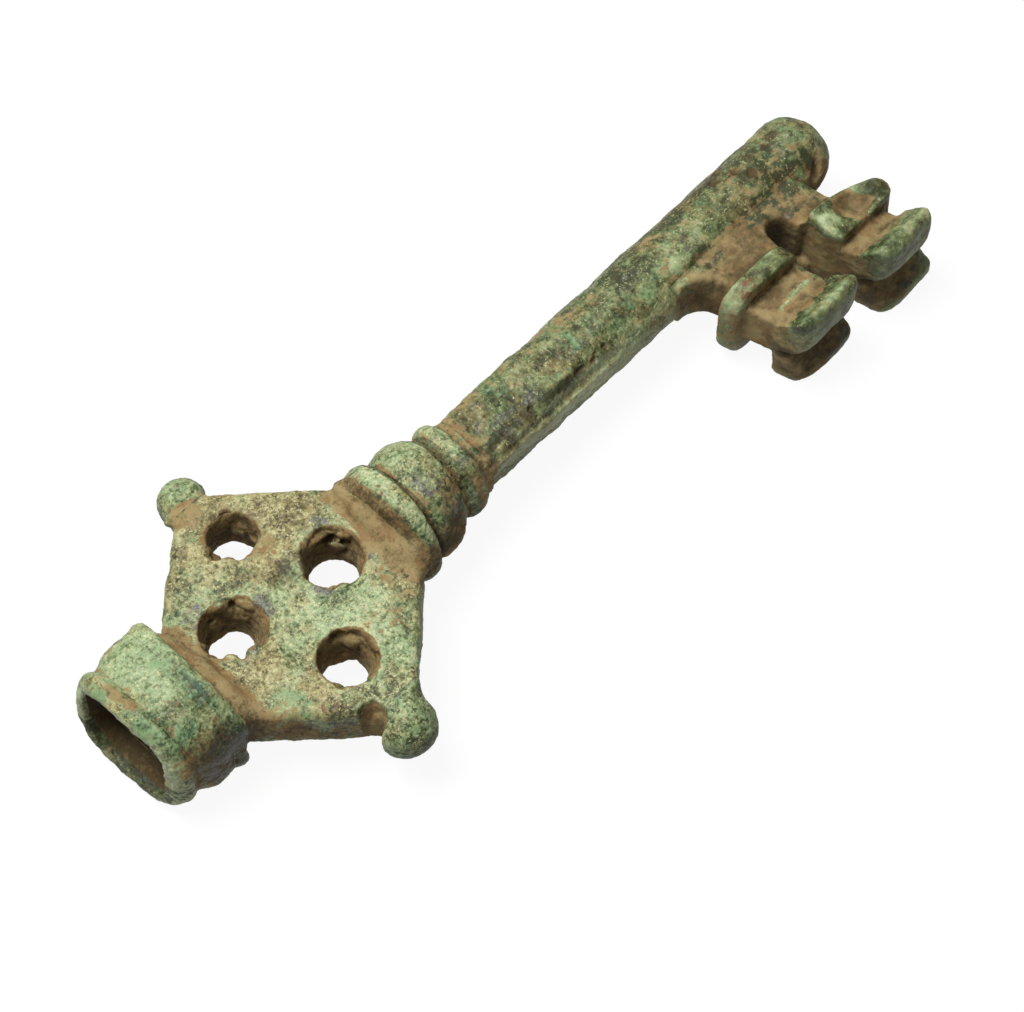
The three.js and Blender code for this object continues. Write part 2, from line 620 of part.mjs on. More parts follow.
// Slides every point along X by its distance from the flange seat, so that a block leans to the tip
function leaning(geometry, lean) {
  const shear = new THREE.Matrix4().set(
    1, -lean, 0, lean * FLANGE_SEAT_Y,
    0, 1, 0, 0,
    0, 0, 1, 0,
    0, 0, 0, 1,
  );
  return geometry.applyMatrix4(shear);
}

// Works out from a ward's sizes where its flange, web and fork lie
function placed(ward, startX) {
  const flangeOuter = FLANGE_SEAT_Y - ward.flangeThickness;
  const forkInner = flangeOuter - ward.channel;
  return {
    ...ward,
    startX,
    endX: startX + ward.length,
    flangeOuter,
    forkInner,
    forkOuter: forkInner - ward.forkDepth,
  };
}

// The near flange: an upright plate square to Y with rounded corners and softened edges
function nearInnerFlange(ward) {
  const halfHeight = (FLANGE_TOP - FLANGE_BOTTOM) / 2;
  const halfLength = (ward.length + ward.lobe) / 2;
  const rings = [
    [FLANGE_SEAT_Y, EDGE_ROUND / 2],
    [FLANGE_SEAT_Y - EDGE_ROUND / 2, 0],
    [ward.flangeOuter + EDGE_ROUND, 0],
    [ward.flangeOuter + EDGE_ROUND / 4, EDGE_ROUND / 4],
    [ward.flangeOuter, EDGE_ROUND],
  ].map(([y, inset]) => {
    const loop = sectionLoop(halfLength - inset, halfHeight - inset, FLANGE_CORNER - inset);
    for (const point of loop) point.y += FLANGE_TOP - halfHeight;
    return acrossY(y, (ward.startX - ward.lobe + ward.endX) / 2, loop);
  });
  return bronze('near_inner_flange', leaning(skin(rings), ward.lean), MID_GREEN, 0.78, 0.3);
}

// The far flange in plan: its near end follows the cleft, its far end is a round lobe
function farFlangeOutline(ward) {
  const nearX = ward.startX + FAR_CORNER_SETBACK;
  const lobeX = ward.endX + ward.lobe - LOBE_RADIUS;
  const lobeY = ward.flangeOuter + LOBE_RADIUS;
  const outline = new THREE.Shape();
  outline.moveTo(nearX, FLANGE_SEAT_Y + TRIM);
  outline.lineTo(nearX, FLANGE_SEAT_Y);
  outline.lineTo(ward.startX + GAP, lobeY);
  outline.lineTo(ward.startX + GAP, ward.flangeOuter);
  outline.lineTo(lobeX, ward.flangeOuter);
  outline.absarc(lobeX, lobeY, LOBE_RADIUS, -Math.PI / 2, LOBE_END_ANGLE);
  outline.quadraticCurveTo(TIP_X + FAR_ROOT_FLARE, FLANGE_SEAT_Y, TIP_X, FLANGE_SEAT_Y);
  outline.lineTo(TIP_X, FLANGE_SEAT_Y + TRIM);
  outline.closePath();
  return outline;
}

// The far flange: a thick upright lobe that slopes down outwards, with a round pocket in its top
function farInnerFlange(ward) {
  const flange = new THREE.ExtrudeGeometry(farFlangeOutline(ward), {
    depth: FLANGE_TOP - FLANGE_BOTTOM - 2 * EDGE_ROUND,
    bevelThickness: EDGE_ROUND,
    bevelSize: EDGE_ROUND,
    bevelOffset: -EDGE_ROUND,
    bevelSegments: 4,
    curveSegments: 10,
  }).translate(0, 0, FLANGE_BOTTOM + EDGE_ROUND);
  const reach = 2 * TIP_X;
  const slope = block(-reach, -reach, 0, reach, reach, reach);
  slope.rotateX(THREE.MathUtils.degToRad(FLANGE_SLOPE));
  slope.translate(0, ward.flangeOuter + LOBE_RADIUS, FLANGE_TOP - EDGE_ROUND / 2);
  const pocket = new THREE.SphereGeometry(POCKET_RADIUS, 20, 14);
  pocket.translate(
    (ward.startX + ward.endX) / 2,
    ward.flangeOuter + LOBE_RADIUS,
    FLANGE_TOP + POCKET_RADIUS - POCKET_DEPTH,
  );
  const trimmed = cut(flange, [block(-reach, FLANGE_SEAT_Y, -reach, reach, reach, reach), slope, pocket]);
  return bronze('far_inner_flange', leaning(trimmed, ward.lean), MID_GREEN, 0.78, 0.3);
}

// The thin plate between the inner flange and the fork
function wardWeb(name, ward) {
  const fromX = ward.startX + GAP;
  const toX = ward.endX - ward.farInset;
  const rings = [ward.flangeOuter, ward.forkInner].map((y) => {
    const loop = sectionLoop((toX - fromX) / 2, ward.webThickness / 2, EDGE_ROUND);
    return acrossY(y, (fromX + toX) / 2, loop);
  });
  return bronze(name, leaning(skin(rings), ward.lean), SOIL_BROWN, 0.92, 0.1);
}

// The fork in section: a thick upper lip with a ridge along it and a thin lower lip, with a V groove
// open outwards between them
function forkProfile(ward) {
  const inner = ward.forkInner;
  const outer = ward.forkOuter;
  const lower = outer - ward.lowerReach;
  const profile = new THREE.Shape();
  profile.moveTo(inner, ward.webThickness / 2);
  profile.lineTo(inner - ward.ridge, ward.lipTop);
  profile.quadraticCurveTo(outer, ward.lipTop, outer, ward.lipTop - 2 * LIP_ROUND);
  profile.lineTo(outer, GROOVE_TOP + 2 * LIP_ROUND);
  profile.quadraticCurveTo(outer, GROOVE_TOP, outer + LIP_ROUND, GROOVE_TOP);
  profile.lineTo(inner - EDGE_ROUND, GROOVE_APEX);
  profile.lineTo(lower, LOWER_LIP - REST_DEPTH);
  profile.lineTo(lower, LIP_ROUND - REST_DEPTH);
  profile.quadraticCurveTo(lower, -REST_DEPTH, lower + LIP_ROUND, -REST_DEPTH);
  profile.lineTo(inner - LIP_ROUND, -REST_DEPTH);
  profile.quadraticCurveTo(inner, -REST_DEPTH, inner, LIP_ROUND - REST_DEPTH);
  profile.closePath();
  return profile.getPoints(5).slice(0, -1);
}

// The fork is its section drawn along X; beyond the ridge it draws in round at both ends. The lower
// lip starts a little after the upper one and ends a little beyond it.
function outerFork(name, ward) {
  const points = forkProfile(ward);
  const ridgeY = ward.forkInner - ward.ridge;
  const ringAt = (upperX, lowerX, draw) => points.map((point) => {
    const y = point.x < ridgeY ? THREE.MathUtils.lerp(point.x, ridgeY, draw) : point.x;
    const upper = THREE.MathUtils.smoothstep(point.y, LOWER_LIP - REST_DEPTH, GROOVE_TOP);
    return new THREE.Vector3(THREE.MathUtils.lerp(lowerX, upperX, upper), y, point.y);
  });
  const rings = [];
  const steps = 4;
  for (let step = 0; step <= steps; step += 1) {
    const angle = (step / steps) * Math.PI / 2;
    const inset = FORK_END_ROUND * (1 - Math.cos(angle));
    const draw = FORK_END_DRAW * (1 - Math.sin(angle));
    const startX = ward.startX + inset;
    const endX = ward.endX - inset;
    const near = ringAt(startX, startX + LOWER_LIP_SETBACK, draw);
    const far = ringAt(endX - ward.lipSetback, endX, draw);
    rings.splice(step, 0, near, far);
  }
  return bronze(name, leaning(skin(rings), ward.lean), DARK_GREEN, 0.75, 0.35);
}

function bit() {
  const near = placed(NEAR_WARD, NEAR_START_X);
  const far = placed(FAR_WARD, FAR_START_X);
  const group = new THREE.Group();
  group.name = 'bit';
  group.add(bitWeb(), nearInnerFlange(near), farInnerFlange(far));
  group.add(wardWeb('near_ward_web', near), wardWeb('far_ward_web', far));
  group.add(outerFork('near_outer_fork', near), outerFork('far_outer_fork', far));
  return group;
}

const key = new THREE.Group();
key.name = 'bronze_key';
key.add(socketMouthBand(), socketDrum(), socketRearBead(), bowPlate());
key.add(leftKnob(), rightKnob());
key.add(lowerCollar(), knop(), upperCollar(), shank(), shankTip(), bit());

// Sets the key down with the middle of its underside at the origin
const box = new THREE.Box3().setFromObject(key);
const centre = box.getCenter(new THREE.Vector3());
key.position.set(-centre.x, -centre.y, -box.min.z);

export default key;
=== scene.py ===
# Ancient bronze key, cast in one piece by the lost-wax way, buried for centuries and only
# lightly cleaned. Metres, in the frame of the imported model: the key lies along X on z = 0.
import math

import bpy
import numpy as np
from mathutils import Matrix, Vector


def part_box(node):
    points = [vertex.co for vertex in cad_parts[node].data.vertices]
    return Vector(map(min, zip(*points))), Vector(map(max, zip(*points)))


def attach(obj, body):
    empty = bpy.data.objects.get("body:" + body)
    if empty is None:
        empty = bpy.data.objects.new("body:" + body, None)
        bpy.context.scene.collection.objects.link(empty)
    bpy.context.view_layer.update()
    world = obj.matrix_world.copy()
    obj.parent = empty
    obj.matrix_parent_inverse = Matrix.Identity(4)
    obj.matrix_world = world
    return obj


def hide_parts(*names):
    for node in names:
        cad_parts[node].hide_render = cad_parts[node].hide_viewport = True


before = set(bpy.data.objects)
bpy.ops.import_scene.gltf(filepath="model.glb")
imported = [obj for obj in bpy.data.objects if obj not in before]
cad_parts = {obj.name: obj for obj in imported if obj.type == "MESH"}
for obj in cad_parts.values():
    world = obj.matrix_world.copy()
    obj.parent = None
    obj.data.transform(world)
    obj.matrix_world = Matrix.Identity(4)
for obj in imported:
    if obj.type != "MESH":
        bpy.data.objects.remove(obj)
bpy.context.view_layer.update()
MM = 0.001

# Camera
# A 105 mm lens looks down at 61 degrees, from the socket's end and the side of the bit.
PICTURE_WIDTH, PICTURE_HEIGHT = 1024, 1012
LENS, FILM = 105, 36
AZIMUTH, ELEVATION, ROLL = map(math.radians, (-47.09, 61.46, 0.42))
AXIS_HEIGHT = 7.5 * MM
COLLAR_ASIDE = 0.2 * MM     # how far the cast collar sits to the bit's side of the shank's axis
PLATE_PIXEL = (286.3, 618.4)
PLATE_DISTANCE = 0.3241


def low(node):
    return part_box(node)[0]


def high(node):
    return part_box(node)[1]


def on_key(along, aside=0, above=0):
    """A place given in mm from the plate's start on the shank's axis, in metres in the frame."""
    axis = (low("lower_collar").y + high("lower_collar").y) / 2 + COLLAR_ASIDE
    return Vector((low("bow_plate").x + along * MM, axis + aside * MM, AXIS_HEIGHT + above * MM))


plate_middle = on_key(12.69)
back = Vector((math.sin(AZIMUTH) * math.cos(ELEVATION),
               -math.cos(AZIMUTH) * math.cos(ELEVATION), math.sin(ELEVATION)))
level = (-back).cross(Vector((0, 0, 1))).normalized()
upright = level.cross(-back)
right = level * math.cos(ROLL) + upright * math.sin(ROLL)
up = upright * math.cos(ROLL) - level * math.sin(ROLL)
metres_per_pixel = PLATE_DISTANCE * FILM / LENS / PICTURE_WIDTH
camera_place = (plate_middle + back * PLATE_DISTANCE
                - right * (PLATE_PIXEL[0] - PICTURE_WIDTH / 2) * metres_per_pixel
                + up * (PLATE_PIXEL[1] - PICTURE_HEIGHT / 2) * metres_per_pixel)
camera_data = bpy.data.cameras.new("camera")
camera_data.lens, camera_data.sensor_width = LENS, FILM
camera_data.clip_start = 0.01
camera = bpy.data.objects.new("camera", camera_data)
camera.matrix_world = Matrix.Translation(camera_place) @ Matrix((right, up, back)).transposed().to_4x4()
bpy.context.collection.objects.link(camera)
bpy.context.scene.camera = camera
bpy.context.scene.view_settings.view_transform = "Standard"

# Table and light
# A white table under a broad soft lamp that hangs high over the key, with pale light all round.
TABLE_SIZE = 3.0
TABLE_SHADE = 0.07          # how much of the table's picture is lit by the lamps, and so shows shadow
TABLE_GREY = 0.36           # how much of the light the table throws back on the key's sides
ALL_ROUND_LIGHT = 0.18
LAMP_PLACE, LAMP_SIZE, LAMP_POWER = Vector((-0.12, 0.21, 0.70)), 0.36, 7.3

bpy.ops.mesh.primitive_plane_add(size=TABLE_SIZE, location=(0, 0, 0))
table = bpy.context.object
table.name = "table"
table_finish = bpy.data.materials.new("white_table")
table_finish.use_nodes = True
nodes, links = table_finish.node_tree.nodes, table_finish.node_tree.links
nodes.clear()
rays = nodes.new("ShaderNodeLightPath")
seen = nodes.new("ShaderNodeMath")
seen.operation = "MAXIMUM"
links.new(rays.outputs["Is Camera Ray"], seen.inputs[0])
links.new(rays.outputs["Is Glossy Ray"], seen.inputs[1])
seen_too = nodes.new("ShaderNodeMath")
seen_too.operation = "MAXIMUM"
links.new(seen.outputs[0], seen_too.inputs[0])
links.new(rays.outputs["Is Transmission Ray"], seen_too.inputs[1])
paint_white = nodes.new("ShaderNodeBsdfDiffuse")
paint_white.inputs["Color"].default_value = (0.94, 0.955, 0.93, 1)
glow_white = nodes.new("ShaderNodeEmission")
glow_white.inputs["Strength"].default_value = 1
shown = nodes.new("ShaderNodeMixShader")
shown.inputs[0].default_value = 1 - TABLE_SHADE
links.new(paint_white.outputs[0], shown.inputs[1])
links.new(glow_white.outputs[0], shown.inputs[2])
paint_grey = nodes.new("ShaderNodeBsdfDiffuse")
paint_grey.inputs["Color"].default_value = (TABLE_GREY, TABLE_GREY, TABLE_GREY, 1)
both = nodes.new("ShaderNodeMixShader")
links.new(seen_too.outputs[0], both.inputs[0])
links.new(paint_grey.outputs[0], both.inputs[1])
links.new(shown.outputs[0], both.inputs[2])
table_out = nodes.new("ShaderNodeOutputMaterial")
links.new(both.outputs[0], table_out.inputs["Surface"])
table.data.materials.append(table_finish)

world = bpy.data.worlds.new("pale_room")
bpy.context.scene.world = world
world.use_nodes = True
nodes, links = world.node_tree.nodes, world.node_tree.links
room = nodes["Background"]
room.inputs["Color"].default_value = (1, 1, 1, 1)
rays = nodes.new("ShaderNodeLightPath")
seen = nodes.new("ShaderNodeMapRange")
seen.inputs["To Min"].default_value = ALL_ROUND_LIGHT
seen.inputs["To Max"].default_value = 1
links.new(rays.outputs["Is Camera Ray"], seen.inputs["Value"])
links.new(seen.outputs["Result"], room.inputs["Strength"])

lamp_data = bpy.data.lights.new("soft_lamp", "AREA")
lamp_data.size, lamp_data.energy = LAMP_SIZE, LAMP_POWER
lamp = bpy.data.objects.new("soft_lamp", lamp_data)
lamp.location = LAMP_PLACE
lamp.rotation_euler = (-LAMP_PLACE).to_track_quat("-Z", "Y").to_euler()
bpy.context.collection.objects.link(lamp)

# The casting as it came out of the ground
# One skin of bronze over all the cast elements: the wax fillets between them are soft,
# and corrosion has left the surface uneven, grainy and pitted.
SKIN_GRAIN = 0.18 * MM
WAX_SOFTNESS = 8


def only(*objects):
    """Selects these objects alone and makes the first one active."""
    bpy.ops.object.select_all(action="DESELECT")
    for item in objects:
        item.select_set(True)
    bpy.context.view_layer.objects.active = objects[0]


def apply_modifiers(piece):
    """Applies all of a piece's modifiers, from the first to the last."""
    only(piece)
    for modifier in list(piece.modifiers):
        bpy.ops.object.modifier_apply(modifier=modifier.name)


def roughen(piece, name, size, height, depth=2):
    """Adds unevenness of one size: lumps and hollows of this height over the whole skin."""
    pattern = bpy.data.textures.new(name, "CLOUDS")
    pattern.noise_scale, pattern.noise_depth = size, depth
    uneven = piece.modifiers.new(name, "DISPLACE")
    uneven.texture, uneven.texture_coords = pattern, "LOCAL"
    uneven.strength, uneven.mid_level = height, 0.5


def clod(centre, half_sizes):
    """A hard clod of burial soil: an uneven lump with these half sizes in mm."""
    bpy.ops.mesh.primitive_ico_sphere_add(subdivisions=4, radius=MM, location=on_key(*centre),
                                          scale=half_sizes)
    lump = bpy.context.object
    roughen(lump, "clod", 1.1 * MM, 0.9 * MM, depth=3)
    apply_modifiers(lump)
    return lump


# The four holes of the plate: mm along the key, mm aside, and half the width.
HOLES = ((14.7, 10.1, 2.75), (20.3, 0.4, 3.5), (6.95, 1.85, 3.65), (13.0, -9.4, 3.25))
SOIL_BEHIND_SOCKET = (((0.0, 5.2, 3.4), (1.6, 2.6, 1.5)), ((0.1, 1.0, 3.6), (2.2, 4.0, 1.7)),
                      ((0.1, -3.2, 3.4), (2.3, 3.2, 1.8)), ((0.1, -5.6, 2.0), (2.2, 1.8, 2.2)))
SOIL_AT_COLLAR = (((26.9, 3.8, 3.7), (1.3, 3.0, 1.1)), ((26.8, 0.2, 3.8), (1.8, 3.4, 1.2)),
                  ((26.7, -3.8, 3.6), (2.0, 3.2, 1.2)), ((26.6, -6.6, 2.0), (1.5, 1.5, 1.6)))
SOIL_IN_HOLES = (((23.2, 3.2, 0.2), (1.3, 1.9, 1.6)), ((20.4, 4.5, 1.4), (1.9, 1.1, 1.3)),
                 ((10.3, 4.0, 0.2), (1.2, 1.5, 1.8)), ((7.6, 5.8, -0.6), (2.0, 1.1, 1.8)),
                 ((4.1, -0.9, 2.5), (1.0, 1.3, 0.7)), ((5.9, -1.9, 2.6), (1.5, 0.9, 0.6)),
                 ((15.9, -7.0, -0.6), (1.2, 1.3, 1.8)), ((15.0, -12.0, -1.0), (1.3, 1.2, 1.8)),
                 ((17.2, 11.9, -0.2), (1.0, 1.3, 1.6)))
SOIL_AT_KNOBS = (((12.5, 16.6, 2.0), (1.5, 1.0, 1.0)), ((11.4, -15.6, -0.4), (1.0, 0.9, 1.6)))
SOIL_IN_BIT = (((88.1, -9.4, -3.6), (0.6, 0.9, 0.9)),)

SOIL = (*SOIL_BEHIND_SOCKET, *SOIL_AT_COLLAR, *SOIL_IN_HOLES, *SOIL_AT_KNOBS, *SOIL_IN_BIT)
copies = [clod(*place) for place in SOIL]
for name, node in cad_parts.items():
    twin = node.copy()
    twin.data = node.data.copy()
    twin.parent = None
    twin.name = "wax_" + name
    for key in list(twin.keys()):
        del twin[key]
    bpy.context.collection.objects.link(twin)
    twin.data.materials.clear()
    copies.append(twin)
for copy in copies:
    only(copy)
    bpy.ops.object.transform_apply(location=True, rotation=True, scale=True)
only(*copies)
bpy.ops.object.join()
casting = bpy.context.object
casting.name = "casting"
bpy.ops.object.mode_set(mode="EDIT")
bpy.ops.mesh.select_all(action="SELECT")
bpy.ops.mesh.remove_doubles(threshold=0.0005 * MM)
bpy.ops.object.mode_set(mode="OBJECT")
skin = casting.modifiers.new("skin", "REMESH")
skin.mode, skin.voxel_size = "VOXEL", SKIN_GRAIN
softened = casting.modifiers.new("softened", "SMOOTH")
softened.factor, softened.iterations = 0.5, WAX_SOFTNESS
roughen(casting, "hand_made_waves", 6.0 * MM, 0.60 * MM, depth=1)
roughen(casting, "corrosion", 1.9 * MM, 0.26 * MM, depth=2)
roughen(casting, "grain", 0.50 * MM, 0.12 * MM)
apply_modifiers(casting)


def places(mesh):
    """The mesh's vertices as rows of x, y, z."""
    flat = np.empty(len(mesh.vertices) * 3)
    mesh.vertices.foreach_get("co", flat)
    return flat.reshape(-1, 3)


def facings(mesh):
    """The way the mesh's vertices face, as rows of x, y, z."""
    flat = np.empty(len(mesh.vertices) * 3)
    mesh.vertices.foreach_get("normal", flat)
    return flat.reshape(-1, 3)


def nearness(points, spot, reach):
    """Which points lie within this many mm of a place on the key, and how far off, from 0 to 1."""
    spot = np.array(on_key(*spot))
    reach = np.ones(3) * reach * MM
    close = np.flatnonzero((np.abs(points - spot) < reach).all(1))
    return close, np.linalg.norm((points[close] - spot) / reach, axis=1)


def smoothed(mesh, passes):
    """The places that the vertices come to when the skin is smoothed this often."""
    points = places(mesh)
    edges = np.empty(len(mesh.edges) * 2, int)
    mesh.edges.foreach_get("vertices", edges)
    first, second = edges.reshape(-1, 2).T
    ends, others = np.concatenate((first, second)), np.concatenate((second, first))
    count = np.bincount(ends, minlength=len(points))[:, None]
    for _ in range(passes):
        total = np.stack([np.bincount(ends, points[others, axis], len(points)) for axis in range(3)], 1)
        points = 0.5 * points + 0.5 * total / count
    return points


points, normals = places(casting.data), facings(casting.data)


def press(depth, reach, *spots):
    """Dents the skin this many mm deep around places on the key, or raises it if the depth is below 0."""
    for spot in spots:
        close, away = nearness(points, spot, reach)
        points[close] -= normals[close] * (depth * MM * np.clip(1 - away ** 2, 0, 1))[:, None]


# The soil has slumped, so that its slopes run smoothly into the metal on either side, and the far
# flange's top is worn into one broad saddle.
press(0.6, (3.0, 2.4, 1.5), (93.4, -10.6, 5.2))
press(0.5, (2.0, 1.6, 1.4), (94.6, -12.6, 5.0))
casting.data.vertices.foreach_set("co", points.ravel())
slopes = [(along, aside, 4) for along in (1.4, 26) for aside in (5, 1, -3.5)]
slopes += [(1.0, -6.6, 2), (26, -7, 2), (93.6, -11, 5), (93.6, -11, 5), (93.6, -11, 5)]
settled = smoothed(casting.data, 60)
for slope in slopes:
    close, away = nearness(points, slope, (3.4, 4.5, 4.0))
    share = np.clip(1.6 - 1.6 * away, 0, 1)[:, None]
    points[close] += share * (settled[close] - points[close])
casting.data.vertices.foreach_set("co", points.ravel())
casting.data.update()
roughen(casting, "soil_grain", 0.60 * MM, 0.14 * MM)
apply_modifiers(casting)
# The bit and the end of the shank are less grainy than the rest.
points, calm = places(casting.data), smoothed(casting.data, 6)
share = 0.7 * np.clip((points[:, 0] - on_key(66).x) / (12 * MM), 0, 1)[:, None]
points += share * (calm - points)
casting.data.vertices.foreach_set("co", points.ravel())
casting.data.update()

# Crust and holes of corrosion: on the walls of the plate's holes, along the shank's worn edge, at the root of
# the bit, and near the end of the shank.
points, normals = places(casting.data), facings(casting.data)
chance = np.random.default_rng(4)
press(0.4, (3.7, 3.9, 1.2), (14.4, 10.7, 3.6))
for along, aside, radius in HOLES:
    for turn in chance.uniform(0, 2 * math.pi, 40):
        spot = (along + radius * math.cos(turn), aside + radius * math.sin(turn), chance.uniform(-4, 3.2))
        press(chance.uniform(-0.55, 0.5), chance.uniform(0.4, 1.5), spot)
# The two larger holes are torn: a groove under a block of crust, and an upright cleft.
TORN = [(20.3 + 3.5 * math.cos(turn), 0.4 + 3.5 * math.sin(turn)) for turn in np.arange(0.4, 1.5, 0.2)]
for along, aside in TORN:
    press(0.4, (0.8, 0.8, 0.5), (along, aside, 1.0 + chance.uniform(-0.2, 0.2)))
    press(chance.uniform(-0.6, 0.1), (0.9, 0.9, 0.6), (along, aside, 2.2))
press(0.8, (0.6, 0.6, 1.6), (9.2, 4.7, 1.4))
press(-0.5, (1.3, 1.3, 0.7), (10.2, 3.4, 2.4), (7.6, 5.2, 2.4))
WORN_EDGE = [(along, -2.85 - 0.025 * (along - 42), 3.95 - 0.03 * (along - 42))
             for along in np.arange(42, 61, 0.7)]
for along, aside, above in WORN_EDGE:
    press(chance.uniform(-0.25, 0.45), (chance.uniform(0.4, 1.0), 0.5, 0.5),
          (along, aside + chance.uniform(-0.4, 0.3), above))
    press(0.12, (1.6, 0.9, 0.9), (along, aside - 1.1, above - 1.2))
TIP_PITS = ((87.0, 3.4, 3.3), (87.7, 1.5, 4.6), (88.9, -0.1, 4.8), (85.1, 2.6, 4.2))
press(0.35, 0.7, *TIP_PITS)
press(-0.35, (1.9, 1.5, 1.5), (74.2, -2.3, 4.3))
press(-0.5, (1.2, 1.0, 0.8), (95.1, -13.5, 4.6))
casting.data.vertices.foreach_set("co", points.ravel())
casting.data.update()
points, normals = places(casting.data), facings(casting.data)


def relief(mesh, passes):
    """How far each vertex stands above (+) or lies below (-) the same skin smoothed this often."""
    return ((points - smoothed(mesh, passes)) * normals).sum(1)


def keep_values(mesh, name, values):
    """Writes one number for each vertex into an attribute that the materials read."""
    found = mesh.attributes.get(name) or mesh.attributes.new(name, "FLOAT", "POINT")
    found.data.foreach_set("value", values.astype(np.float32))


fine_relief = relief(casting.data, 6)
broad_relief = relief(casting.data, 90)
keep_values(casting.data, "grit", np.clip(0.5 + fine_relief / (0.09 * MM), 0, 1))
keep_values(casting.data, "hollow", np.clip(-broad_relief / (0.40 * MM), 0, 1))
keep_values(casting.data, "ridge", np.clip(broad_relief / (0.40 * MM), 0, 1))
facets = casting.modifiers.new("facets", "TRIANGULATE")
apply_modifiers(casting)
# Marks painted on the skin. One of them darkens it for real stains and pits and also as painted shade; below
# 0 it lightens it, at some places as painted light.
marks = {mark: np.zeros(len(points)) for mark in ("soil", "bare", "stain_and_shade", "fresh", "rust", "warm")}


def block(lowest, highest):
    """A plain box between two corners, in metres, that the casting is cut with."""
    size = Vector(highest) - Vector(lowest)
    bpy.ops.mesh.primitive_cube_add(size=1, location=Vector(lowest) + size / 2, scale=size)
    return bpy.context.object


def repeats(numbers):
    """How often each number stands in the row."""
    _, which, count = np.unique(numbers, return_inverse=True, return_counts=True)
    return count[which]


def loose_flaps(mesh):
    """Which triangles a cut has left as flaps: two on the same corners, or one with two free edges."""
    corners = np.empty(len(mesh.polygons) * 3, int)
    mesh.polygons.foreach_get("vertices", corners)
    lowest, middle, highest = np.sort(corners.reshape(-1, 3), 1).T
    many = len(mesh.vertices)
    edges = np.stack((lowest * many + middle, lowest * many + highest, middle * many + highest))
    free_edges = (repeats(edges.ravel()).reshape(3, -1) == 1).sum(0)
    return (repeats(edges[0] * many + highest) > 1) | (free_edges > 1)


def cut_out(name, lowest, highest, without=()):
    """One cast element: what the casting has inside a box and outside the others."""
    for mark, values in marks.items():
        keep_values(casting.data, mark, values)
    piece = casting.copy()
    piece.data = casting.data.copy()
    piece.name = piece.data.name = name
    bpy.context.collection.objects.link(piece)
    tools = [(block(lowest, highest), "INTERSECT")]
    tools += [(block(*corners), "DIFFERENCE") for corners in without]
    for tool, way in tools:
        cut = piece.modifiers.new("cut", "BOOLEAN")
        cut.object, cut.operation, cut.solver = tool, way, "MANIFOLD"
    apply_modifiers(piece)
    for tool, _ in tools:
        bpy.data.objects.remove(tool)
    bpy.ops.object.mode_set(mode="EDIT")
    bpy.ops.mesh.select_all(action="SELECT")
    bpy.ops.mesh.remove_doubles(threshold=0.005 * MM)
    bpy.ops.mesh.quads_convert_to_tris()
    bpy.ops.mesh.select_all(action="DESELECT")
    bpy.ops.object.mode_set(mode="OBJECT")
    piece.data.polygons.foreach_set("select", loose_flaps(piece.data))
    bpy.ops.object.mode_set(mode="EDIT")
    bpy.ops.mesh.delete(type="FACE")
    bpy.ops.mesh.separate(type="LOOSE")
    bpy.ops.object.mode_set(mode="OBJECT")
    bodies = sorted(bpy.context.selected_objects, key=lambda body: len(body.data.vertices))
    for crumb in bodies[:-1]:
        bpy.data.objects.remove(crumb)
    piece = bodies[-1]
    piece.name = piece.data.name = name
    return piece


def paint(mark, amount, reach, *spots):
    """Adds to one kind of mark around places on the key; its edge lies this many mm away."""
    values = marks[mark]
    for spot in spots:
        close, away = nearness(points, spot, 1.25 * np.ones(3) * reach)
        values[close] = np.clip(values[close] + amount * np.clip(2 - 2 * away, 0, 1), -1, 1)


def colour(red, green, blue):
    """A colour as it is seen, 0 to 255, made into the linear one that the shader wants."""
    def linear(part):
        part /= 255
        return part / 12.92 if part < 0.04045 else ((part + 0.055) / 1.055) ** 2.4
    return linear(red), linear(green), linear(blue), 1


CHALK, PALE_GREEN, MID_GREEN, DARK_GREEN = (colour(188, 198, 157), colour(146, 164, 120),
                                            colour(104, 118, 75), colour(52, 62, 33))
CREAM, TAN, OLIVE, UMBER = (colour(190, 187, 138), colour(153, 144, 98),
                            colour(110, 100, 60), colour(60, 50, 24))
CRUST = colour(198, 196, 145)
LIGHT_MALACHITE, DARK_MALACHITE = colour(128, 156, 110), colour(50, 80, 50)
PIT = colour(36, 31, 15)
DRY_SOIL, RED_SOIL, DEEP_SOIL = colour(148, 130, 88), colour(134, 108, 68), colour(78, 64, 36)
RUST = colour(112, 78, 52)
# Worn metal, dark and pale; the palest colour is a painted highlight, glints laid as specks into the metal.
WORN_METAL, WORN_DARK, PAINTED_GLINT = colour(106, 104, 92), colour(62, 59, 48), colour(214, 212, 204)


